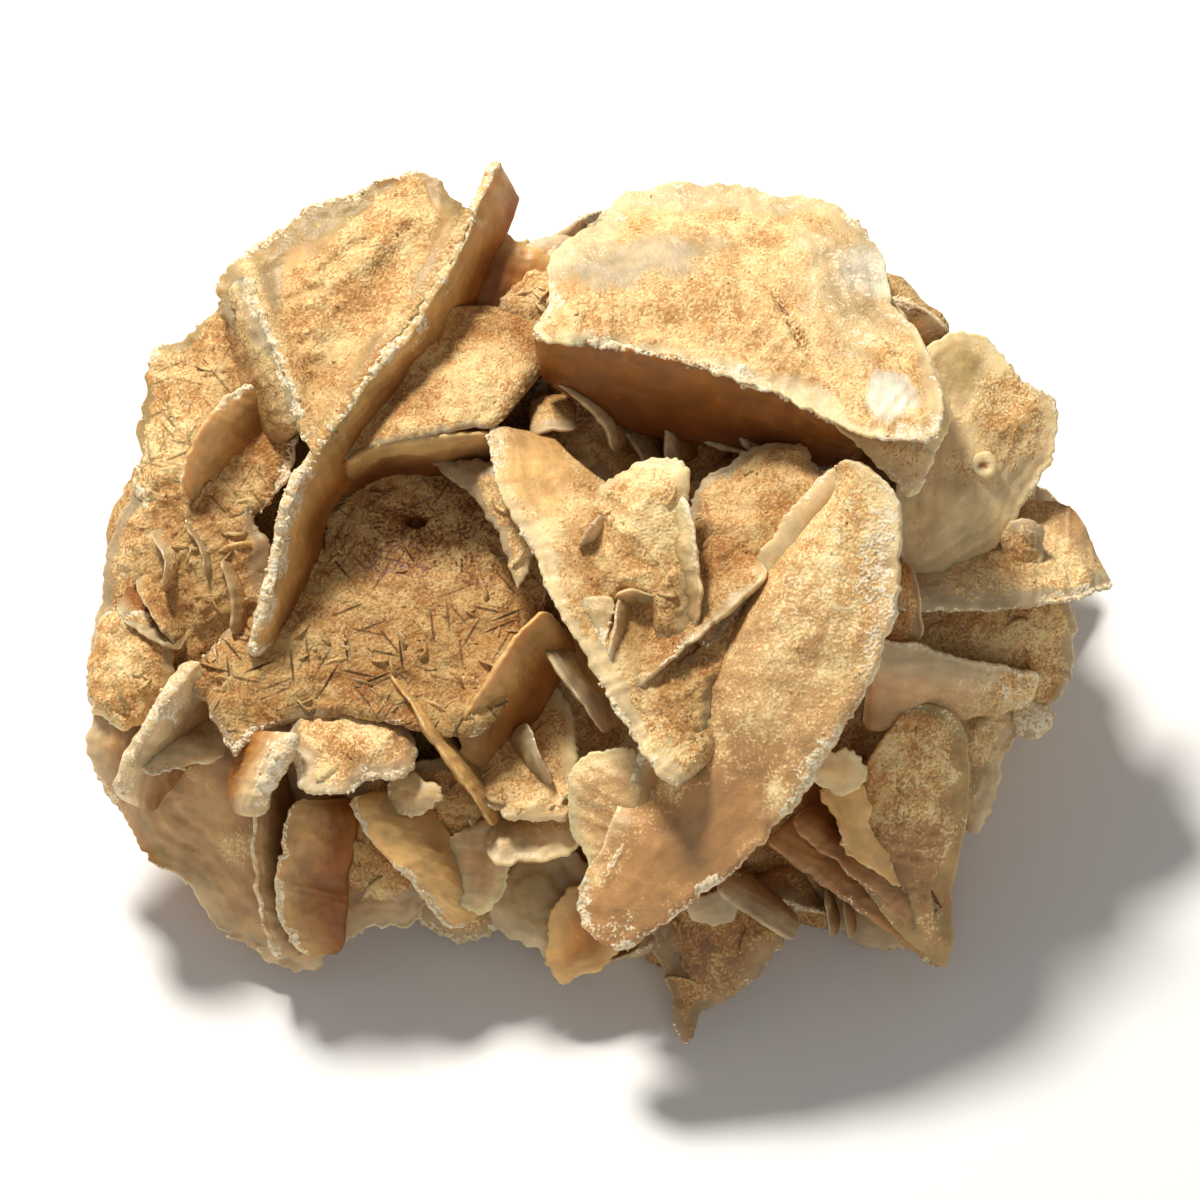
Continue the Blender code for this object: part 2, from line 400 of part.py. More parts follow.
def disc(name, blade, collection):
    """A lens: a thin rim, a low dome on the face, and a back that tapers down into the cluster.

    A large lens has a second ring of points, so that its dome rises mostly near the rim."""
    u0, v0, w0 = blade["at"]
    toward = math.radians(blade["toward"])
    fall = math.tan(math.radians(blade["dip"]))
    lean = Vector((math.cos(toward), math.sin(toward)))
    rim = []
    for u, v in blade["outline"]:
        drop = fall * ((u - u0) * lean.x + (v - v0) * lean.y)
        rim.append(Vector((u, v, w0 - drop)))
    normal = Vector((fall * lean.x, fall * lean.y, 1.0)).normalized()
    centre = sum(rim, Vector()) / len(rim)
    half = normal * blade.get("rim", RIM_THICKNESS) / 2.0
    dome = normal * blade.get("dome", DISC_DOME)
    root = normal * blade.get("root", DISC_ROOT_DEPTH)
    count = len(rim)
    points = [centre + dome, centre - root]
    points += [p - half for p in rim]
    points += [p + half for p in rim]
    back, front = 2, 2 + count
    faces = ring_faces(back, front, count)
    if max((p - centre).length for p in rim) > LARGE_DISC:
        points += [p.lerp(centre, MID_RING) + dome * MID_RISE for p in rim]
        faces += ring_faces(front, front + count, count)
        front += count
    for i in range(count):
        j = (i + 1) % count
        faces.append((front + i, front + j, 0))
        faces.append((back + i, back + j, 1))
    return mesh_object(name, points, faces, collection)


def fin(name, blade, collection):
    """A blade on edge: thin along its free rim and thicker along the line where it roots."""
    rim = [Vector(p) for p in blade["rim"]]
    root = [Vector(p) for p in blade["root"]]
    count = len(rim)
    rim_half = blade.get("thickness", RIM_THICKNESS) / 2.0
    root_half = blade.get("root_thickness", FIN_ROOT_THICKNESS) / 2.0
    rows = ([], [], [], [])
    for i in range(count):
        along = rim[min(i + 1, count - 1)] - rim[max(i - 1, 0)]
        normal = along.cross(root[i] - rim[i]).normalized()
        rows[0].append(rim[i] + normal * rim_half)
        rows[1].append(root[i] + normal * root_half)
        rows[2].append(root[i] - normal * root_half)
        rows[3].append(rim[i] - normal * rim_half)
    points = [p for row in rows for p in row]
    faces = []
    for row in range(4):
        following = (row + 1) % 4
        for i in range(count - 1):
            a = row * count + i
            b = following * count + i
            faces.append((a, a + 1, b + 1, b))
    for i in (0, count - 1):
        faces.append(tuple(row * count + i for row in range(4)))
    return mesh_object(name, points, faces, collection)


def lump(name, centre, radii, detail, collection):
    """One buried lump of the matrix that the blades grow from."""
    shape = bmesh.new()
    bmesh.ops.create_icosphere(shape, subdivisions=detail, radius=1.0)
    points = []
    for vertex in shape.verts:
        points.append([centre[k] + radii[k] * vertex.co[k] for k in range(3)])
    faces = [tuple(v.index for v in f.verts) for f in shape.faces]
    shape.free()
    return mesh_object(name, points, faces, collection)


def to_view(x, y, z):
    """Turns a point of the rose's own frame, in millimetres, into the view."""
    x -= VIEW_ORIGIN[0]
    y -= VIEW_ORIGIN[1]
    z -= VIEW_ORIGIN[2]
    up = math.sin(VIEW_ELEVATION)
    level = math.cos(VIEW_ELEVATION)
    return Vector((x, y * up + z * level, z * up - y * level))


def reach_in_front_view(point):
    """How far out a point lies in the front view: 1 is on the oval that the front just covers."""
    return math.hypot(point.x / FRONT_OUTLINE[0], point.y / FRONT_OUTLINE[1])


def behind_front(points):
    """Moves a blade of the hidden side in, whole, until the front view no longer shows it."""
    for _ in range(FRONT_TRIES):
        furthest = max(points, key=reach_in_front_view)
        excess = reach_in_front_view(furthest)
        if excess <= 1.0:
            break
        shift = Vector((furthest.x, furthest.y, 0.0)) * (1.0 / excess - 1.0)
        points = [p + shift for p in points]
    return points


def back_blade(name, row, around, height, chance, collection):
    """A lens half buried in the hidden side, its free edge pointing away from the middle."""
    around = math.radians(around)
    height = math.radians(height)
    level_out = Vector((math.cos(around), math.sin(around), 0.0))
    level = Vector((-math.sin(around), math.cos(around), 0.0))
    out = level_out * math.cos(height) + Vector((0.0, 0.0, math.sin(height)))
    twist = math.radians(chance.uniform(-BACK_TWIST, BACK_TWIST))
    side = level * math.cos(twist) + out.cross(level) * math.sin(twist)
    lean = math.radians(chance.uniform(-BACK_LEAN, BACK_LEAN))
    out_leaning = out * math.cos(lean) + out.cross(side) * math.sin(lean)
    normal = side.cross(out_leaning).normalized()
    centre = Vector([row["centre"][k] + row["reach"][k] * out[k] for k in range(3)])
    long = row["size"] * chance.uniform(*BACK_LENGTHS)
    short = long * chance.uniform(*BACK_WIDTHS)
    rim = []
    for i in range(BACK_SIDES):
        wander = chance.uniform(-BACK_CORNER_WANDER, BACK_CORNER_WANDER)
        turn = math.tau * (i + wander) / BACK_SIDES
        rim.append(centre + side * (long * math.cos(turn)) + out_leaning * (short * math.sin(turn)))
    half = normal * RIM_THICKNESS / 2.0
    belly = normal * long * BACK_BELLY
    points = [p + half for p in rim] + [p - half for p in rim] + [centre + belly, centre - belly]
    points = behind_front([to_view(*p) for p in points])
    faces = ring_faces(0, BACK_SIDES, BACK_SIDES)
    for i in range(BACK_SIDES):
        j = (i + 1) % BACK_SIDES
        faces.append((i, j, 2 * BACK_SIDES))
        faces.append((BACK_SIDES + i, BACK_SIDES + j, 2 * BACK_SIDES + 1))
    return mesh_object(name, points, faces, collection)


def back_blades(collection):
    """Rows of blades round the hidden side."""
    chance = random.Random(BACK_SEED)
    for number, row in enumerate(BACK_ROWS):
        for i in range(row["count"]):
            around = row["start"] + (row["end"] - row["start"]) * i / (row["count"] - 1)
            around += chance.uniform(-BACK_AROUND_WANDER, BACK_AROUND_WANDER)
            height = row["height"] + chance.uniform(-BACK_HEIGHT_WANDER, BACK_HEIGHT_WANDER)
            back_blade(f"back_{number}_{i}", row, around, height, chance, collection)


def clear_scene():
    for obj in list(bpy.data.objects):
        bpy.data.objects.remove(obj, do_unlink=True)


def add_blades():
    """All the lumps and blades besides the middle lump, hidden, in a collection of their own."""
    blades = bpy.data.collections.new("blades")
    bpy.context.scene.collection.children.link(blades)
    for name, (centre, radii) in LUMPS.items():
        if name != "middle":
            lump(name, centre, radii, LUMP_DETAIL, blades)
    back_blades(blades)
    for name, blade in DISCS.items():
        disc(name, blade, blades)
    for name, blade in FINS.items():
        fin(name, blade, blades)
    for helper in blades.objects:
        hide(helper)
    return blades


def hide(helper):
    helper.hide_render = True
    helper.display_type = "WIRE"


def ground_block():
    """The block below z = 0 that the base is broken off against."""
    mesh = bpy.data.meshes.new("ground")
    shape = bmesh.new()
    bmesh.ops.create_cube(shape, size=GROUND_SIZE)
    bmesh.ops.translate(shape, verts=shape.verts, vec=(0.0, 0.0, -GROUND_SIZE / 2.0))
    shape.to_mesh(mesh)
    shape.free()
    block = bpy.data.objects.new("ground", mesh)
    bpy.context.scene.collection.objects.link(block)
    hide(block)
    return block


def sandy_gypsum():
    material = bpy.data.materials.new("sandy_gypsum")
    material.use_nodes = True
    shader = material.node_tree.nodes["Principled BSDF"]
    shader.inputs["Base Color"].default_value = SAND_GOLD
    shader.inputs["Roughness"].default_value = SAND_ROUGHNESS
    shader.inputs["Metallic"].default_value = 0.0
    return material


def build_rose():
    clear_scene()
    rose = lump("sand_rose", *LUMPS["middle"], CORE_DETAIL, bpy.context.scene.collection)
    join = rose.modifiers.new("grown together", "BOOLEAN")
    join.operation = "UNION"
    join.operand_type = "COLLECTION"
    join.collection = add_blades()
    join.solver = "EXACT"
    join.use_self = True
    cut = rose.modifiers.new("broken base", "BOOLEAN")
    cut.operation = "DIFFERENCE"
    cut.object = ground_block()
    cut.solver = "EXACT"
    rose.data.materials.append(sandy_gypsum())


build_rose()
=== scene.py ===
# %% [markdown]
# # A gypsum sand rose, dressed
# A sand rose is one cluster of lens-shaped gypsum crystals that grew into each other in wet desert sand.
# The plain solid of it comes first, as a fixed frame. Every visible blade is then built again over that
# solid as a fine mesh, with worn rims, growth steps and sand crust, and gets one shared finish.

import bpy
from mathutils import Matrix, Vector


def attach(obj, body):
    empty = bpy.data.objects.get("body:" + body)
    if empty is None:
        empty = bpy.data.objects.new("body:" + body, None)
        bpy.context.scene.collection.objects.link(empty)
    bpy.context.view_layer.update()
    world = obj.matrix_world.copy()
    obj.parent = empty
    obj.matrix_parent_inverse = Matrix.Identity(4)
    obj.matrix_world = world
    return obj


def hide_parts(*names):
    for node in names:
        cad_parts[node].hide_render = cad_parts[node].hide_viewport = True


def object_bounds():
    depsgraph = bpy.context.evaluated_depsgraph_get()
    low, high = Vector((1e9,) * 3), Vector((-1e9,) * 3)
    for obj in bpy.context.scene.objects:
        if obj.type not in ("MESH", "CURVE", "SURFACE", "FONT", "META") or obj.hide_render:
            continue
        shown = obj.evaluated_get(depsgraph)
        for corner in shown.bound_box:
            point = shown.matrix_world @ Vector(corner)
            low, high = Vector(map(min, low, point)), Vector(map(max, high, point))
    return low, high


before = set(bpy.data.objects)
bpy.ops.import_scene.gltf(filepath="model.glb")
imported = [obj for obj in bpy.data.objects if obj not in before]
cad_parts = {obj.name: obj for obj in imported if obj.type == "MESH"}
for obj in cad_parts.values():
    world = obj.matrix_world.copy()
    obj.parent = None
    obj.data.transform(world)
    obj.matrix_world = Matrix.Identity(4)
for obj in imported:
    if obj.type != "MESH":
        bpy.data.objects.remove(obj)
CAD_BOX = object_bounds()
print("the plain rose, in metres:", CAD_BOX)

# %% Tools
import math
import random

import bmesh
import bpy
import numpy as np
from mathutils import Vector, geometry

# %% [markdown]
# ## Drawing from one side
# A rose has no straight edge to measure from, so it is drawn as it is looked at: u runs to the right,
# v up the picture and w towards the eye, all in millimetres. Tipping that drawing back by the viewing
# angle lays the rose on its base. Doing it in one function keeps every blade in the same frame.

# %% From the drawing to the rose's own frame
VIEW_ELEVATION = math.radians(55.0)
VIEW_ORIGIN = np.array([0.0, -4.0, 24.0])
MILLIMETRE = 0.001
UP = math.sin(VIEW_ELEVATION)
LEVEL = math.cos(VIEW_ELEVATION)
TIP_BACK = np.array([[1.0, 0.0, 0.0], [0.0, UP, LEVEL], [0.0, -LEVEL, UP]])


def to_rose(points):
    """Drawing to rose frame, both in millimetres. A point is a row."""
    return points @ TIP_BACK + VIEW_ORIGIN


def to_drawing(points):
    """The way back, for blades that are given in the rose's own frame."""
    return (points - VIEW_ORIGIN) @ TIP_BACK.T


print("the middle of the drawing lies at", to_rose(np.zeros(3)), "mm")

# %% [markdown]
# ## Fine or quick
# The step is the usual distance between two points of a mesh. Sand grains are about 0.3 mm, so the front
# needs a step near that, while the hidden side can do with more.

# %% How fine the meshes are
STEP = 0.35
BACK_STEP = 0.6
print("steps in mm:", STEP, BACK_STEP)

# %% [markdown]
# ## Repeatable roughness
# Nothing on a crystal is even. Noise could come from Blender's own functions one point at a time, but
# numpy can do a whole blade at once: a number is drawn for each corner of a cube lattice from the
# corner's whole-numbered place, and points in between blend the eight corners round them.

# %% Noise for whole arrays of points
CORNERS = [(i, j, k) for i in (0, 1) for j in (0, 1) for k in (0, 1)]


def corner_value(cells, seed):
    """A repeatable number from -1 to 1 for each corner of the lattice."""
    mixed = (cells[:, 0] * 73856093) ^ (cells[:, 1] * 19349663) ^ (cells[:, 2] * 83492791) ^ (seed * 2654435761)
    mixed = mixed & 0xFFFFFFFF
    mixed = ((mixed ^ (mixed >> 13)) * 1274126177) & 0xFFFFFFFF
    mixed = ((mixed ^ (mixed >> 16)) * 2246822519) & 0xFFFFFFFF
    return (mixed ^ (mixed >> 15)) / 2147483648.0 - 1.0


def noise(points, size, seed=0):
    """Smooth noise from -1 to 1, with bumps about size wide."""
    scaled = points / size
    cells = np.floor(scaled).astype(np.int64)
    part = scaled - cells
    part = part * part * (3.0 - 2.0 * part)
    total = np.zeros(len(points))
    for corner in CORNERS:
        weight = np.ones(len(points))
        for axis in range(3):
            weight *= part[:, axis] if corner[axis] else 1.0 - part[:, axis]
        total += weight * corner_value(cells + np.array(corner), seed)
    return total


def rough(points, size, octaves=3, seed=0):
    """Noise with finer noise on top of it, each layer half as wide and half as strong."""
    total = np.zeros(len(points))
    for octave in range(octaves):
        total += noise(points, size / 2 ** octave, seed + octave) / 2 ** octave
    return total


def smooth(value, low, high):
    """0 below low, 1 above high and an eased slope between them."""
    part = np.clip((value - low) / (high - low), 0.0, 1.0)
    return part * part * (3.0 - 2.0 * part)


print("noise at one point:", noise(np.array([[1.2, 3.4, 5.6]]), 2.0))

# %% [markdown]
# ## Smooth lines through a few points
# Each outline is a short list of points. A Catmull-Rom curve passes through every one of
# them, unlike a Bezier curve's handles, so the list stays easy to read and to change.

# %% Curves


def spans(points, closed):
    """The points before, at, after and beyond each span of the curve."""
    if closed:
        return np.roll(points, 1, 0), points, np.roll(points, -1, 0), np.roll(points, -2, 0)
    padded = np.vstack([2 * points[0] - points[1], points, 2 * points[-1] - points[-2]])
    return padded[:-3], padded[1:-2], padded[2:-1], padded[3:]


def on_curve(points, at, closed=False):
    """Points of the curve at the given places, counted in spans from the first point."""
    before, start, end, beyond = spans(np.asarray(points, float), closed)
    span = np.clip(np.floor(at).astype(int), 0, len(start) - 1)
    t = (at - span)[:, None]
    a, b, c, d = before[span], start[span], end[span], beyond[span]
    bend = (2 * a - 5 * b + 4 * c - d) * t + (3 * (b - c) + d - a) * t * t
    return b + 0.5 * t * ((c - a) + bend)


def even_places(points, step, closed=False, multiple=1):
    """Places on the curve that lie about a step apart along it."""
    count = len(points) if closed else len(points) - 1
    fine = np.linspace(0.0, count, count * 16 + 1)
    line = on_curve(points, fine, closed)
    run = np.concatenate([[0.0], np.cumsum(np.linalg.norm(np.diff(line, axis=0), axis=1))])
    pieces = max(6, int(round(run[-1] / step / multiple)) * multiple)
    wanted = np.linspace(0.0, run[-1], pieces + 1)
    places = np.interp(wanted, run, fine)
    return places[:-1] if closed else places


# %% [markdown]
# ## Gathering a mesh
# About a hundred blades would be a hundred objects. They are gathered as arrays instead, by the part of
# the rose they belong to, and each part becomes one mesh. Beside its place each point keeps what the
# finish needs to know: how much sand lies on it, how worn it is, which colour the clear stone has
# there, how dense the needle slits are, how much painted shade darkens it, and where it lies along the
# blade's growth lines.

# %% The heap that blades are gathered in
GATHERED = {}
NUMBERS = ("sand", "worn", "slits", "painted_shade")
TRIPLES = ("stone", "growth")


def gather(group, points, triangles, sand, worn, stone, growth, slits=0.0, painted_shade=0.0):
    """Adds one closed shape, in the drawing's millimetres, to a part of the rose."""
    heap = GATHERED.setdefault(group, [])
    count = len(points)
    a, b, c = (points[np.asarray(triangles)[:, k]] for k in range(3))
    if (a * np.cross(b, c)).sum() < 0.0:
        triangles = np.asarray(triangles)[:, ::-1]
    heap.append({
        "place": to_rose(points),
        "triangles": np.asarray(triangles, np.int64),
        "sand": np.broadcast_to(sand, count),
        "worn": np.broadcast_to(worn, count),
        "slits": np.broadcast_to(slits, count),
        "painted_shade": np.broadcast_to(painted_shade, count),
        "stone": np.broadcast_to(stone, (count, 3)),
        "growth": np.broadcast_to(growth, (count, 3)),
    })


# %% [markdown]
# ## The colours of the stone
# Clear gypsum takes its colour from the clay and iron in it: honey and amber where it is thick, olive
# and grey where it thins out to a rim, and cream where its surface is bruised. Towards a rim the colour
# also turns paler as painted highlight and glow of light through the thin stone, and one amber tone is
# darkened by painted shade, for undersides, dents and shaded hollows. They are given as screen
# values from 0 to 255, as a colour picker shows them, and turned into the linear light values that a
# shader works with.

# %% Tones


def linear(red, green, blue):
    """A screen colour as linear light."""
    screen = np.array([red, green, blue]) / 255.0
    return np.where(screen <= 0.04045, screen / 12.92, ((screen + 0.055) / 1.055) ** 2.4)


TONES = {
    "amber": linear(188, 124, 50),
    # Amber darkened by painted shade, for undersides, dents and shaded hollows.
    "amber_in_shade": linear(140, 80, 22),
    "tan": linear(214, 172, 118),
    "brown": linear(184, 138, 86),
    "olive": linear(184, 156, 102),
    "grey": linear(200, 178, 138),
    "honey": linear(226, 182, 116),
    "pale": linear(236, 208, 156),
    "milk": linear(242, 230, 204),
}
print(len(TONES), "tones of clear gypsum")

# %% [markdown]
# ## The blades, drawn one by one
# Every blade that the photograph shows is here, as the solid has it. A disc is a lens seen on its face: an
# outline, a point of its plane, and how far and towards where that plane leans away. A fin is a blade
# seen near its edge: its free rim, and the line where it roots.

# %% Lumps, discs, fins and the rows of the back
# The buried lumps that the blades grow from: centre and radii along (u, v, w).
LUMPS = {
    "middle": ((0.0, -1.0, -16.0), (43.0, 35.0, 22.0)),
    "under_crown": ((13.0, 26.0, -5.0), (21.0, 13.0, 13.0)),
    "under_upper_left": ((-25.0, 25.0, -4.5), (15.0, 12.0, 10.0)),
    "under_right": ((33.0, 8.0, -8.0), (12.0, 14.0, 11.0)),
    "under_left": ((-37.0, 5.0, -8.0), (12.0, 18.0, 12.0)),
    "under_front": ((4.0, -24.0, -5.0), (32.0, 9.0, 9.0)),
    "under_bottom": ((8.0, -31.0, -1.5), (13.0, 6.5, 6.5)),
}

# Blades on the hidden side, in rows counted round the back from the right. Each row follows an oval
# shell, given in the rose's own frame, and climbs it by the angle called height.
BACK_ROWS = [
    dict(centre=(0.0, 7.0, 11.0), reach=(40.0, 29.0, 20.0),
         count=11, height=2.0, start=-14.0, end=194.0, size=13.0),
    dict(centre=(0.0, 7.0, 14.0), reach=(38.0, 29.0, 22.0),
         count=9, height=32.0, start=2.0, end=178.0, size=13.0),
    dict(centre=(13.0, 20.0, 31.0), reach=(20.0, 13.0, 12.0),
         count=6, height=12.0, start=-10.0, end=165.0, size=9.0),
    dict(centre=(-25.0, 18.0, 32.0), reach=(15.0, 11.0, 9.0),
         count=5, height=10.0, start=20.0, end=200.0, size=8.5),
]
BACK_SEED = 41
BACK_SIDES = 8
BACK_TWIST = 75.0
BACK_LEAN = 35.0
BACK_AROUND_WANDER = 5.0
BACK_HEIGHT_WANDER = 8.0
BACK_LENGTHS = (0.8, 1.15)
BACK_WIDTHS = (0.65, 0.85)
BACK_CORNER_WANDER = 0.2
BACK_BELLY = 0.2

# The oval of the front view, half widths in u and v, that the hidden side has to stay behind.
FRONT_OUTLINE = (48.5, 39.5)
FRONT_TRIES = 3

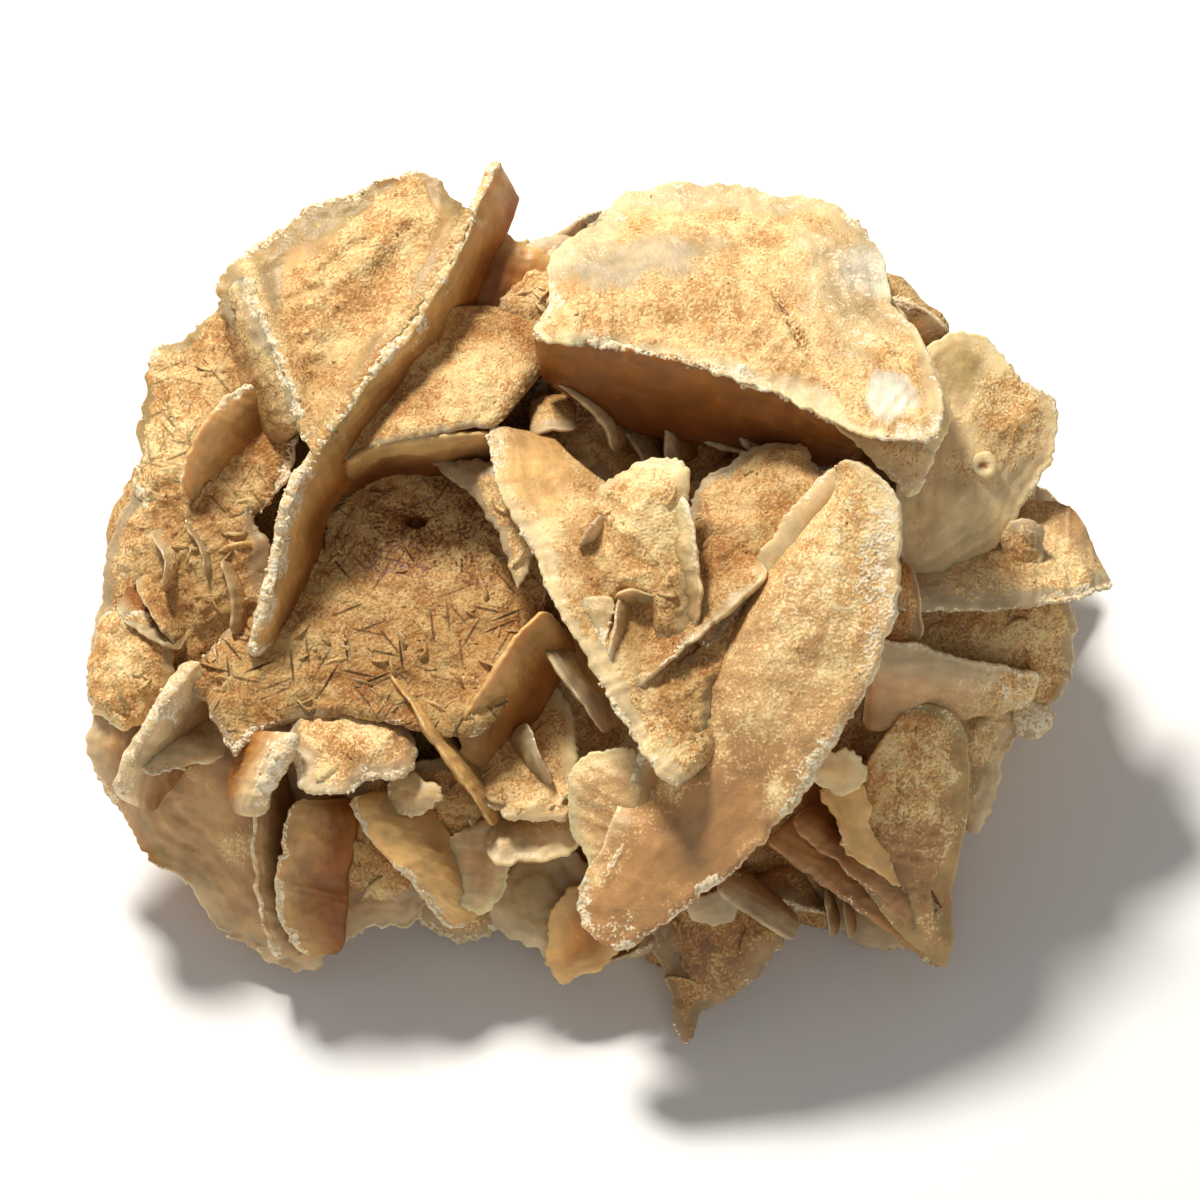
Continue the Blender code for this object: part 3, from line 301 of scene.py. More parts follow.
# Discs: outline in (u, v), then a point of the plane, its dip from facing the eye, and the
# direction in the picture, in degrees from +u, towards which the plane sinks away.
DISCS = {
    "upper_left_disc": dict(
        outline=[(-15.1, 41.6), (-17.6, 42.7), (-21.1, 42.5), (-24.4, 41.3), (-29.4, 39.3),
                 (-34.7, 35.4), (-37.8, 32.7), (-38.3, 30.2), (-36.0, 24.0), (-31.0, 18.0),
                 (-27.6, 14.6), (-21.4, 23.4), (-15.8, 31.6), (-12.2, 38.4)],
        at=(-25.0, 30.0, 9.0), dip=18, toward=115),
    "left_upper_disc": dict(
        outline=[(-36.0, 30.0), (-40.4, 27.4), (-42.2, 25.9), (-44.9, 24.9), (-46.1, 18.4),
                 (-46.9, 12.0), (-46.0, 9.5), (-44.4, 7.2), (-40.0, 6.0), (-34.0, 8.0), (-30.0, 14.0),
                 (-31.0, 23.0)],
        at=(-40.0, 18.0, 6.0), dip=20, toward=150),
    "left_flank": dict(
        outline=[(-45.0, 12.0), (-47.2, 9.9), (-48.6, 7.4), (-50.3, 1.3), (-50.8, -3.0), (-51.4, -8.7),
                 (-50.5, -11.5), (-46.0, -12.0), (-40.0, -9.0), (-36.0, -5.0), (-33.0, 0.0),
                 (-33.0, 7.0), (-38.0, 11.0)],
        at=(-43.0, 0.0, 6.0), dip=22, toward=185),
    "left_lobe": dict(
        outline=[(-50.6, -3.5), (-51.3, -8.0), (-50.6, -11.5), (-48.6, -13.3), (-45.6, -12.6),
                 (-42.8, -9.5), (-42.0, -5.0), (-45.0, -1.0), (-49.0, -1.0)],
        at=(-46.5, -6.5, 8.5), dip=12, toward=150),
    "basin_floor": dict(
        outline=[(-41.0, -8.0), (-39.4, -10.3), (-38.4, -12.8), (-36.3, -15.6), (-34.0, -13.8),
                 (-29.7, -12.4), (-25.8, -11.9), (-21.9, -12.6), (-17.0, -14.0), (-11.0, -13.0),
                 (-7.0, -5.0), (-4.0, 5.0), (-7.0, 14.0), (-14.0, 17.0), (-22.0, 16.0), (-29.0, 12.0),
                 (-33.0, 3.0)],
        at=(-20.0, -10.0, 12.0), dip=20, toward=90),
    "lower_left_disc": dict(
        outline=[(-51.3, -16.2), (-50.1, -18.4), (-47.2, -23.0), (-45.2, -26.3), (-42.2, -28.2),
                 (-39.0, -32.6), (-36.1, -34.8), (-31.5, -37.1), (-28.5, -37.3), (-26.3, -35.1),
                 (-23.6, -33.7), (-18.5, -32.5), (-16.0, -27.0), (-18.0, -18.0), (-28.0, -11.0),
                 (-38.0, -7.0), (-47.0, -7.0), (-51.3, -12.0)],
        at=(-35.0, -22.0, 2.0), dip=12, toward=230),
    "crown": dict(
        outline=[(-7.0, 26.4), (-5.4, 29.5), (-5.0, 34.3), (-0.9, 37.5), (2.7, 40.8), (7.8, 41.8),
                 (15.7, 41.4), (22.0, 40.1), (26.0, 37.7), (28.2, 34.3), (29.5, 29.5), (32.0, 26.0),
                 (34.5, 19.5), (33.0, 15.6), (26.4, 15.9), (21.3, 18.1), (13.7, 21.2), (5.0, 23.9),
                 (-4.0, 25.0)],
        at=(13.0, 23.0, 19.0), dip=38, toward=88, dome=2.0),
    "crown_shoulder": dict(
        outline=[(22.0, 33.0), (27.0, 33.5), (29.6, 29.5), (32.2, 26.0), (35.0, 19.5), (34.0, 15.0),
                 (31.0, 10.0), (27.5, 13.0), (23.0, 17.5), (20.0, 24.0)],
        at=(28.0, 20.0, 15.0), dip=30, toward=50, dome=1.0),
    "right_disc": dict(
        outline=[(31.5, 24.5), (33.9, 26.4), (36.5, 27.0), (39.6, 25.8), (42.0, 22.5), (45.0, 21.1),
                 (46.0, 18.5), (45.4, 13.4), (42.8, 10.0), (41.0, 6.4), (37.5, 3.9), (33.9, 1.7),
                 (30.0, 2.0), (29.0, 9.0), (30.0, 18.0)],
        at=(38.0, 15.0, 5.0), dip=20, toward=30),
    "shaded_right_face": dict(
        outline=[(46.8, 0.0), (47.8, -4.0), (47.4, -7.2), (45.8, -10.0), (42.0, -12.0), (34.0, -11.0),
                 (30.0, -5.0), (31.0, 1.0), (39.0, 4.0)],
        at=(40.0, -4.0, 3.0), dip=15, toward=-30),
    "shield": dict(
        outline=[(26.8, 13.2), (29.6, 9.8), (30.0, 3.0), (28.8, -4.4), (26.4, -9.2), (22.6, -15.7),
                 (18.5, -21.8), (12.9, -27.6), (7.0, -32.2), (2.9, -35.0), (-0.8, -33.6), (-2.5, -31.0),
                 (-1.9, -27.6), (0.5, -23.5), (3.0, -16.0), (8.0, -6.0), (14.0, 3.0), (20.0, 11.0),
                 (24.0, 14.0)],
        at=(14.0, -12.0, 19.0), dip=15, toward=176, dome=3.0, rim=1.5, root=9.0),
    "wing_box": dict(
        outline=[(0.0, 11.8), (2.5, 13.3), (6.6, 14.4), (9.0, 13.0), (9.3, 8.0), (9.7, 2.6),
                 (9.7, -3.0), (7.0, -5.4), (0.8, -8.0), (-2.5, -3.0), (-3.0, 5.0)],
        at=(4.0, 3.0, 18.3), dip=15, toward=172, root=6.0),
    "wing_back": dict(
        outline=[(10.0, 12.0), (12.9, 13.7), (14.4, 15.2), (19.4, 15.7), (22.0, 14.0), (23.0, 11.0),
                 (17.7, 3.1), (14.0, -1.5), (10.5, -5.0), (7.0, 0.0), (8.0, 8.0)],
        at=(15.0, 7.0, 16.5), dip=22, toward=125, root=7.0),
    "valley_leaf": dict(
        outline=[(13.6, 3.6), (18.0, 6.0), (16.0, 0.0), (12.5, -8.0), (10.0, -15.0), (7.0, -18.4),
                 (4.0, -13.0), (2.0, -9.0), (9.0, -5.0)],
        at=(9.0, -8.0, 19.5), dip=14, toward=60, root=6.0),
    "behind_crest": dict(
        outline=[(-12.0, 39.0), (-10.6, 37.7), (-7.2, 35.9), (-4.7, 34.7), (-3.5, 30.0), (-7.0, 25.0),
                 (-14.0, 24.0), (-17.0, 30.0)],
        at=(-9.0, 32.0, 1.5), dip=15, toward=60),
    "pitted_knob": dict(
        outline=[(-9.2, 32.0), (-6.5, 33.4), (-4.3, 32.0), (-4.0, 28.0), (-8.0, 27.5), (-10.5, 29.5)],
        at=(-7.0, 30.5, 4.5), dip=10, toward=60),
    "strap_foot": dict(
        outline=[(-45.1, -11.2), (-38.6, -10.5), (-37.0, -15.0), (-39.7, -17.0), (-42.2, -17.0),
                 (-44.7, -17.7), (-46.0, -16.0)],
        at=(-41.5, -14.5, 8.5), dip=25, toward=70),
    "leaf_under_basin": dict(
        outline=[(-30.8, -11.6), (-26.0, -10.4), (-21.0, -11.0), (-18.3, -13.5), (-18.2, -16.7),
                 (-20.1, -18.0), (-23.6, -18.8), (-27.2, -19.5), (-29.6, -19.0), (-30.5, -16.5)],
        at=(-24.5, -17.0, 14.0), dip=30, toward=80, root=6.0),
    "pale_lobe": dict(
        outline=[(-21.0, -17.5), (-18.0, -16.5), (-15.4, -19.0), (-16.5, -20.9), (-19.2, -21.8),
                 (-21.5, -20.5)],
        at=(-18.5, -19.5, 11.5), dip=15, toward=200),
    "fan_floor": dict(
        outline=[(-27.5, -19.0), (-20.0, -16.0), (-12.0, -16.0), (-9.5, -22.0), (-11.5, -28.0),
                 (-16.0, -30.0), (-22.0, -30.0), (-27.0, -27.0)],
        at=(-18.0, -23.0, 7.0), dip=15, toward=-100),
    "translucent_fan": dict(
        outline=[(-15.1, -23.0), (-12.0, -21.5), (-9.8, -23.0), (-8.9, -26.9), (-9.4, -29.0),
                 (-11.4, -31.4), (-14.0, -30.5), (-15.5, -27.0)],
        at=(-12.0, -27.0, 7.5), dip=15, toward=-60),
    "round_petal": dict(
        outline=[(-13.1, -16.8), (-12.2, -19.6), (-10.5, -21.4), (-8.6, -22.1), (-5.3, -22.2),
                 (-3.0, -21.6), (-1.5, -16.0), (-3.0, -10.0), (-8.0, -7.0), (-13.0, -11.0)],
        at=(-8.0, -18.0, 9.5), dip=28, toward=85),
    "lower_lens": dict(
        outline=[(-11.2, -25.7), (-9.6, -26.6), (-7.5, -26.1), (-5.3, -26.1), (-2.3, -25.1),
                 (-1.0, -22.0), (-5.0, -19.5), (-10.0, -20.5), (-12.0, -23.0)],
        at=(-6.5, -25.0, 10.0), dip=30, toward=90),
    "pale_petal": dict(
        outline=[(4.0, -14.0), (0.5, -13.9), (-1.6, -15.1), (-3.0, -16.8), (-3.5, -19.2), (-3.3, -21.8),
                 (-2.4, -24.4), (-0.8, -26.8), (3.0, -27.0), (7.0, -20.0)],
        at=(0.0, -20.0, 13.5), dip=18, toward=200),
    "grey_foot": dict(
        outline=[(-11.6, -30.5), (-10.5, -33.3), (-8.6, -34.4), (-6.2, -35.2), (-5.0, -36.6),
                 (-1.0, -36.0), (1.0, -30.0), (-3.0, -24.0), (-9.0, -24.0), (-12.0, -27.0)],
        at=(-6.0, -31.0, 3.0), dip=15, toward=-110),
    "amber_foot": dict(
        outline=[(-5.8, -35.0), (-4.8, -37.8), (-3.7, -38.6), (-1.7, -37.8), (-0.5, -37.4),
                 (1.3, -36.2), (4.0, -32.0), (1.0, -27.0), (-4.0, -29.0)],
        at=(-2.0, -34.0, 5.5), dip=15, toward=-60),
    "bottom_triangle": dict(
        outline=[(5.0, -34.0), (5.9, -37.6), (6.8, -41.5), (8.4, -44.6), (9.6, -43.2), (10.4, -41.2),
                 (13.4, -39.8), (16.5, -37.2), (19.0, -34.6), (18.0, -31.0), (12.0, -26.0),
                 (5.0, -28.0)],
        at=(11.0, -36.0, 6.0), dip=14, toward=-60),
    "bottom_lens": dict(
        outline=[(9.0, -29.5), (12.0, -28.6), (14.0, -30.2), (13.0, -32.4), (10.0, -32.6), (8.6, -31.0)],
        at=(11.5, -30.5, 10.0), dip=20, toward=-100, root=5.0),
    "lower_right_blade": dict(
        outline=[(34.4, -37.0), (35.4, -34.6), (35.2, -29.0), (36.0, -25.0), (36.8, -19.0),
                 (36.0, -12.0), (31.0, -10.5), (26.0, -17.0), (24.0, -23.0), (27.0, -30.0),
                 (31.5, -35.0)],
        at=(31.0, -22.0, 8.0), dip=16, toward=-60),
    "olive_blade": dict(
        outline=[(21.3, -19.6), (22.8, -23.1), (24.4, -25.4), (29.8, -28.8), (28.4, -23.9),
                 (26.4, -18.2), (23.0, -17.0)],
        at=(25.0, -22.0, 11.5), dip=15, toward=210, root=6.0),
    "pale_lens": dict(
        outline=[(21.7, -18.6), (24.4, -19.7), (26.3, -18.8), (26.6, -16.5), (25.0, -14.6),
                 (22.0, -14.6), (20.0, -17.0)],
        at=(24.0, -17.0, 14.5), dip=15, toward=-40, root=6.0),
    "olive_rim": dict(
        outline=[(36.0, -22.5), (37.9, -23.6), (39.1, -22.4), (40.3, -20.0), (40.8, -16.0),
                 (42.4, -13.0), (43.0, -9.0), (39.0, -7.0), (34.0, -10.0), (33.0, -18.0)],
        at=(38.0, -15.0, 1.0), dip=15, toward=-20),
    "crumbly_edge": dict(
        outline=[(41.0, -9.5), (44.6, -9.5), (45.6, -11.6), (44.6, -13.4), (42.8, -14.2), (41.2, -13.0)],
        at=(43.0, -12.0, 2.0), dip=10, toward=-30, root=5.0),
    "fringe_plate": dict(
        outline=[(20.0, -27.0), (24.5, -34.0), (27.5, -35.2), (31.8, -35.8), (33.5, -33.0),
                 (32.0, -26.0), (25.0, -22.0)],
        at=(27.0, -31.0, -1.0), dip=8, toward=-90),
    "crown_cellar": dict(
        outline=[(-6.0, 24.0), (0.0, 24.0), (12.0, 21.0), (24.0, 17.0), (22.0, 11.0), (12.0, 9.0),
                 (2.0, 9.0), (-6.0, 13.0)],
        at=(6.0, 16.0, 4.0), dip=20, toward=90),
}

# Fins: the free rim and the root line, both in (u, v, w), running the same way.
FINS = {
    "crest": dict(
        rim=[(-10.4, 44.6, 4.0), (-12.7, 38.6, 8.0), (-16.7, 31.2, 12.0), (-22.7, 22.9, 15.5),
             (-28.1, 15.1, 17.0), (-30.7, 11.3, 17.0), (-32.2, 5.5, 16.5), (-33.4, 0.0, 15.5),
             (-34.8, -5.5, 14.0)],
        root=[(-9.4, 41.0, -1.0), (-10.8, 37.0, 1.0), (-14.4, 30.0, 4.0), (-19.0, 22.2, 6.5),
              (-25.0, 14.0, 7.5), (-28.0, 10.0, 7.5), (-29.4, 4.9, 7.0), (-31.5, -1.0, 6.5),
              (-33.2, -6.0, 6.5)], thickness=1.6),
    "short_ridge": dict(
        rim=[(-35.1, 32.7, 11.0), (-33.4, 28.5, 13.0), (-32.2, 25.5, 14.0), (-30.8, 22.4, 15.0),
             (-29.0, 17.5, 16.0)],
        root=[(-36.0, 31.0, 4.0), (-36.0, 27.5, 5.0), (-34.8, 24.0, 6.0), (-33.5, 20.0, 7.0),
              (-31.0, 15.5, 8.0)],
        thickness=1.3),
    "left_leaf": dict(
        rim=[(-33.0, 22.0, 9.0), (-36.5, 20.7, 12.0), (-38.6, 18.8, 13.0), (-40.1, 16.3, 13.0),
             (-41.3, 13.8, 12.0), (-41.7, 11.3, 10.5), (-40.6, 8.6, 8.0)],
        root=[(-30.0, 20.4, 5.0), (-31.0, 18.4, 6.0), (-32.4, 16.5, 6.0), (-33.8, 14.2, 6.0),
              (-35.6, 11.6, 5.5), (-37.4, 9.4, 5.0), (-39.0, 7.8, 4.5)]),
    "ledge_top": dict(
        rim=[(-26.9, 12.9, 12.0), (-23.6, 14.7, 14.0), (-20.1, 15.6, 15.0), (-15.4, 16.3, 15.0),
             (-10.5, 16.8, 13.5)],
        root=[(-24.0, 22.0, 6.0), (-20.5, 24.5, 5.0), (-16.0, 27.0, 4.0), (-9.5, 28.0, 3.5),
              (-4.0, 25.0, 4.0)]),
    "ledge_under": dict(
        rim=[(-26.9, 12.8, 11.8), (-23.6, 14.6, 13.8), (-20.1, 15.5, 14.8), (-15.4, 16.2, 14.8),
             (-10.5, 16.7, 13.3)],
        root=[(-26.6, 11.2, 6.0), (-23.2, 12.8, 5.0), (-20.0, 13.8, 5.0), (-15.2, 14.4, 5.0),
              (-10.3, 14.8, 5.0)]),
    "crown_under": dict(
        rim=[(-7.0, 26.4, 15.0), (-4.0, 25.9, 17.0), (0.0, 25.6, 18.5), (5.0, 24.8, 19.4),
             (9.8, 23.5, 19.7), (17.7, 21.2, 19.8), (22.5, 18.8, 19.0), (26.6, 17.0, 17.0)],
        root=[(-5.5, 25.0, 9.0), (-3.6, 23.6, 9.0), (-0.3, 21.3, 9.0), (4.0, 19.4, 9.0),
              (8.0, 18.4, 9.0), (16.0, 16.8, 9.0), (21.0, 15.8, 9.0), (26.0, 16.2, 9.0)],
        thickness=1.4, root_thickness=5.0),
    "right_spur": dict(
        rim=[(51.6, 1.0, 3.0), (47.4, -0.3, 6.0), (41.4, -0.9, 9.0), (35.5, -1.1, 11.5),
             (29.0, -1.1, 13.5)],
        root=[(48.0, 5.6, -1.0), (46.0, 8.0, -1.0), (42.0, 8.6, 0.0), (36.0, 6.0, 3.0),
              (30.0, 4.0, 5.0)]),
    "right_lens": dict(
        rim=[(44.4, -7.0, 6.0), (39.4, -6.0, 9.5), (35.5, -5.4, 12.0), (31.5, -4.2, 14.0),
             (27.0, -3.5, 15.0)],
        root=[(43.0, -8.6, 3.5), (39.6, -9.6, 5.0), (36.0, -10.4, 6.5), (31.5, -11.2, 8.0),
              (26.0, -12.0, 9.0)]),
    "wing": dict(
        rim=[(-11.3, 17.7, 13.0), (-10.9, 14.0, 15.0), (-9.9, 10.0, 16.5), (-7.7, 5.5, 18.0),
             (-4.0, -1.4, 20.0), (-0.1, -8.4, 21.5), (4.4, -16.1, 23.0), (7.2, -18.8, 23.5)],
        root=[(-8.0, 16.0, 8.0), (-4.0, 13.0, 10.0), (0.0, 10.0, 11.0), (5.0, 5.0, 12.5),
              (8.5, 0.0, 14.0), (10.5, -6.0, 15.5), (11.0, -12.0, 17.5), (10.0, -17.0, 19.5)],
        root_thickness=4.0),
    "strap": dict(
        rim=[(-40.4, -5.7, 13.0), (-42.2, -8.0, 13.8), (-44.0, -10.9, 13.8), (-46.1, -14.1, 12.5),
             (-48.0, -17.6, 10.0), (-48.2, -19.6, 7.5)],
        root=[(-37.5, -8.0, 6.0), (-38.8, -10.0, 6.0), (-40.8, -13.0, 5.0), (-42.8, -16.0, 4.0),
              (-45.0, -18.6, 3.0), (-46.2, -20.6, 2.5)], thickness=1.9),
    "fan_edge": dict(
        rim=[(-34.5, -15.1, 14.0), (-35.0, -18.0, 13.0), (-34.5, -21.9, 11.0), (-34.4, -25.5, 9.5),
             (-33.8, -30.1, 7.5), (-32.7, -36.2, 4.0)],
        root=[(-32.6, -16.0, 7.0), (-32.4, -19.0, 6.0), (-32.0, -23.0, 4.0), (-31.5, -27.0, 3.0),
              (-31.2, -31.0, 2.0), (-31.0, -35.5, 0.5)]),
    "spear": dict(
        rim=[(-29.2, -13.2, 17.0), (-31.5, -16.5, 17.0), (-33.4, -20.0, 15.5), (-33.8, -21.6, 13.5)],
        root=[(-34.6, -13.4, 11.0), (-35.0, -16.0, 10.5), (-35.0, -19.0, 10.0), (-34.4, -21.5, 9.5)],
        thickness=1.9),
    "fan_middle": dict(
        rim=[(-30.4, -19.8, 14.0), (-31.5, -22.6, 13.5), (-31.8, -25.5, 12.5), (-32.4, -28.4, 11.0),
             (-31.8, -32.0, 8.5), (-29.9, -35.5, 5.0)],
        root=[(-25.6, -19.4, 8.0), (-25.6, -22.0, 7.0), (-25.8, -25.0, 6.0), (-26.0, -28.0, 5.0),
              (-26.5, -32.0, 3.5), (-27.8, -35.3, 1.0)]),
    "fan_diagonal": dict(
        rim=[(-25.4, -19.8, 13.0), (-23.6, -22.6, 13.0), (-21.1, -25.9, 12.0), (-18.6, -28.7, 10.5),
             (-16.1, -32.0, 8.0), (-13.8, -33.3, 5.5)],
        root=[(-20.0, -18.5, 8.0), (-17.8, -21.0, 7.5), (-15.8, -24.0, 7.0), (-14.6, -27.0, 6.0),
              (-13.2, -29.6, 4.0), (-12.2, -31.0, 1.5)]),
    "narrow_leaf": dict(
        rim=[(-21.1, -6.7, 12.5), (-18.8, -10.6, 14.5), (-16.5, -14.4, 15.0), (-12.9, -19.4, 13.5),
             (-10.8, -22.8, 10.5)],
        root=[(-19.4, -7.6, 7.0), (-16.8, -10.6, 7.0), (-14.5, -14.4, 7.0), (-11.5, -18.4, 6.5),
              (-10.0, -22.0, 6.0)]),
    "slit_leaf": dict(
        rim=[(-20.6, -3.6, 9.8), (-18.4, -5.6, 12.0), (-17.4, -8.6, 12.0)],
        root=[(-19.6, -3.6, 7.0), (-17.4, -4.8, 7.0), (-16.4, -7.6, 7.0)]),
    "amber_petal": dict(
        rim=[(-5.4, -0.6, 14.0), (-8.3, -3.4, 15.0), (-11.1, -7.3, 15.0), (-13.6, -10.9, 14.0),
             (-14.4, -13.7, 12.5), (-14.0, -16.8, 10.5)],
        root=[(-3.4, -3.4, 8.0), (-4.8, -6.0, 7.5), (-6.6, -9.0, 7.0), (-8.0, -12.0, 6.5),
              (-9.0, -14.8, 6.0), (-9.6, -17.0, 6.0)]),
    "strip": dict(
        rim=[(-6.0, -4.5, 12.0), (-4.4, -7.0, 13.5), (-2.9, -8.8, 14.0), (-1.4, -10.8, 14.0),
             (-0.1, -13.5, 12.5)],
        root=[(-4.2, -3.6, 7.0), (-2.4, -6.0, 7.0), (-0.8, -8.0, 7.0), (0.6, -10.0, 7.0),
              (1.8, -12.5, 7.0)]),
    "bottom_ridge": dict(
        rim=[(11.5, -28.6, 12.0), (15.2, -31.4, 11.0), (19.1, -34.4, 8.5)],
        root=[(12.4, -27.4, 6.0), (16.2, -29.6, 5.5), (19.4, -33.0, 5.0)]),
    "lamina_outer": dict(
        rim=[(16.0, -24.2, 10.0), (19.7, -26.7, 9.0), (23.6, -29.5, 7.5), (27.6, -32.4, 5.5),
             (31.5, -35.5, 2.5), (34.4, -37.4, -0.5)],
        root=[(19.0, -21.5, 6.0), (22.0, -24.0, 5.0), (25.5, -27.0, 4.0), (29.0, -30.0, 3.0),
              (32.0, -33.0, 1.0), (34.6, -35.0, -1.5)], thickness=0.8),
    "lamina_inner": dict(
        rim=[(18.6, -22.2, 12.0), (21.6, -25.2, 11.0), (25.4, -28.2, 9.5), (29.2, -31.4, 7.5),
             (33.0, -35.2, 4.0)],
        root=[(20.6, -20.4, 8.0), (23.6, -23.4, 7.0), (27.4, -26.2, 6.0), (31.2, -29.2, 5.0),
              (34.2, -33.0, 3.0)],
        thickness=0.8),
    "gap_point": dict(
        rim=[(-2.4, 16.8, 12.0), (-5.0, 16.9, 11.5), (-7.0, 16.1, 10.5)],
        root=[(-2.4, 19.0, 5.0), (-4.8, 19.0, 5.0), (-6.8, 18.2, 5.0)]),
    "gap_blade_left": dict(
        rim=[(1.5, 17.5, 9.0), (4.0, 14.0, 11.0), (5.0, 11.0, 11.0)],
        root=[(3.5, 18.5, 4.0), (6.0, 15.5, 4.0), (7.0, 12.5, 4.0)]),
    "gap_blade_right": dict(
        rim=[(8.0, 18.0, 9.0), (10.5, 15.5, 11.0), (15.0, 14.5, 11.0)],
        root=[(9.5, 19.5, 4.0), (12.5, 17.5, 4.0), (16.5, 16.5, 4.0)]),
    "flank_lath_upper": dict(
        rim=[(-45.2, 6.8, 9.0), (-43.4, 4.0, 11.0), (-43.6, 0.6, 10.5)],
        root=[(-43.0, 7.2, 5.0), (-41.4, 4.4, 5.0), (-41.6, 1.0, 5.0)]),
    "flank_lath_lower": dict(
        rim=[(-46.6, 2.0, 9.5), (-44.6, -1.6, 11.0), (-42.8, -4.6, 11.0)],
        root=[(-44.4, 3.0, 5.0), (-42.6, -0.4, 5.0), (-40.8, -3.4, 6.0)]),
    "petal_lath": dict(
        rim=[(-7.2, -12.0, 12.5), (-6.2, -15.4, 13.0), (-4.6, -18.4, 12.0)],
        root=[(-8.4, -12.8, 8.0), (-7.4, -15.8, 8.0), (-5.8, -18.8, 8.0)]),
    "shield_neighbour": dict(
        rim=[(31.2, 3.5, 15.0), (31.6, 0.0, 15.0), (32.4, -4.0, 13.0)],
        root=[(28.6, 4.0, 9.0), (28.8, 0.0, 9.0), (29.6, -4.0, 9.0)]),
}

# %% [markdown]
# ## A lens seen on its face
# Gypsum in wet sand grows as flat lenses: a thin scalloped rim, a face that thickens away from it in low
# terraces, and a belly that sinks into the cluster. A round grid would waste points in its middle, so the
# outline is filled with an even scatter of points and Blender's Delaunay triangulation joins them. The face
# and the belly are two such sheets that share the rim.

# %% Helpers for outlines
RIM_THICKNESS = 0.45
FULL_THICKNESS = 1.2
BITE = 0.6


def inside(points, edge):
    """Which points lie inside a closed outline, by counting crossings."""
    after = np.roll(edge, -1, 0)
    u, v = points[:, :1], points[:, 1:]
    crosses = (edge[:, 1] > v) != (after[:, 1] > v)
    rise = after[:, 1] - edge[:, 1]
    rise = np.where(np.abs(rise) < 1e-9, 1e-9, rise)
    at = edge[:, 0] + (v - edge[:, 1]) / rise * (after[:, 0] - edge[:, 0])
    return (crosses & (u < at)).sum(axis=1) % 2 == 1


def nearest(points, edge):
    """How far each point is from the outline, and which point of the outline is nearest."""
    far = np.empty(len(points))
    which = np.empty(len(points), int)
    for start in range(0, len(points), 2000):
        part = points[start:start + 2000]
        apart = ((part[:, None, :] - edge[None, :, :]) ** 2).sum(axis=2)
        which[start:start + 2000] = apart.argmin(axis=1)
        far[start:start + 2000] = np.sqrt(apart.min(axis=1))
    return far, which


def inward(edge):
    """A direction into the outline at each of its points, evened out along it."""
    along = np.roll(edge, -1, 0) - np.roll(edge, 1, 0)
    after = np.roll(edge, -1, 0)
    turned = np.stack([-along[:, 1], along[:, 0]], axis=1)
    area = (edge[:, 0] * after[:, 1] - after[:, 0] * edge[:, 1]).sum()
    turned = turned * np.sign(area)
    for _ in range(3):
        turned = turned + np.roll(turned, 1, 0) + np.roll(turned, -1, 0)
    return turned / np.linalg.norm(turned, axis=1)[:, None]


def nibbles(points, seed):
    """How deep the rim is nibbled: scallops, fine teeth, and a broken bay here and there."""
    scallops = np.abs(noise(points, 2.1, seed)) * 0.8
    teeth = np.abs(noise(points, 0.8, seed + 1)) * 0.75
    bays = np.clip(noise(points, 4.5, seed + 2) - 0.3, 0.0, 1.0) * 2.4
    return scallops + teeth + bays


def bitten(edge, seed, depth):
    """Nibbles the outline inwards."""
    at = np.column_stack([edge, np.full(len(edge), seed * 3.7)])
    return edge + inward(edge) * (depth * nibbles(at, seed))[:, None]


def scatter(edge, spacing, seed):
    """An even scatter of points inside the outline, with two rows that follow the rim."""
    low, high = edge.min(axis=0), edge.max(axis=0)
    rows = np.arange(low[1], high[1], spacing * 0.866)
    places = []
    for number, v in enumerate(rows):
        u = np.arange(low[0] + spacing * 0.5 * (number % 2), high[0], spacing)
        places.append(np.column_stack([u, np.full(len(u), v)]))
    places = np.vstack(places)
    at = np.column_stack([places, np.full(len(places), seed)])
    shake = np.column_stack([noise(at, 0.37, 11), noise(at, 0.37, 12)]) * spacing * 0.22
    places = places + shake
    places = places[inside(places, edge)]
    far, _ = nearest(places, edge)
    places = places[far > 0.4 + spacing * 0.5]
    into = inward(edge)
    first = edge + into * 0.14
    second = (edge + into * 0.4)[::2]
    rings = np.vstack([first, second])
    rings = rings[inside(rings, edge)]
    far, _ = nearest(rings, edge)
    return np.vstack([rings[far > 0.09], places])


def triangulate(edge, extra):
    """Joins the outline and the points inside it into triangles."""
    points = [Vector(p) for p in np.vstack([edge, extra])]
    count = len(edge)
    border = [(i, (i + 1) % count) for i in range(count)]
    found = geometry.delaunay_2d_cdt(points, border, [list(range(count))], 1, 1e-6)
    made, _, triangles, sources = found[0], found[1], found[2], found[3]
    places = np.array([(p.x, p.y) for p in made])
    number = np.full(len(made), -1)
    for index, source in enumerate(sources):
        if source:
            number[index] = min(source)
    return places, np.array(triangles), number


# %% [markdown]
# ## What a face looks like
# Three things cover a face. Sand crust fills its middle and stops a little before the rim. A clear band
# follows, crossed by growth steps. The last millimetre is bruised to a crumbly white, in some stretches a
# hair's breadth and in others wide. All depend on how far a point is from the rim, shaken by noise, so one
# function serves every blade. Patches then change single places, as the photograph shows them. The
# stone's colour runs from a rim tone to the blade's own tone: paler at the rim, partly as the thin
# stone's colour and partly as painted highlight and glow, and, where the blade's tone is the shaded
# amber, darker inwards as painted shade.

# %% Sand, clear band, worn rim and patches
# A look's shade value is painted shade that darkens the whole blade. Its rim tone is partly the thin stone's own colour
# and partly painted highlight and glow.
PLAIN = dict(sand=0.8, belly_sand=0.1, band=1.0, worn=0.6, width=0.8, tone="honey", rim_tone_and_glow="grey",
             belly_tone="amber", steps=0.16, bite=1.0, flutes=0.55, sprouts=0.0, sprout_size=1.0,
             crumbs=1.0, painted_shade=0.0, coarse=1.0,
             climb=(), patches=())


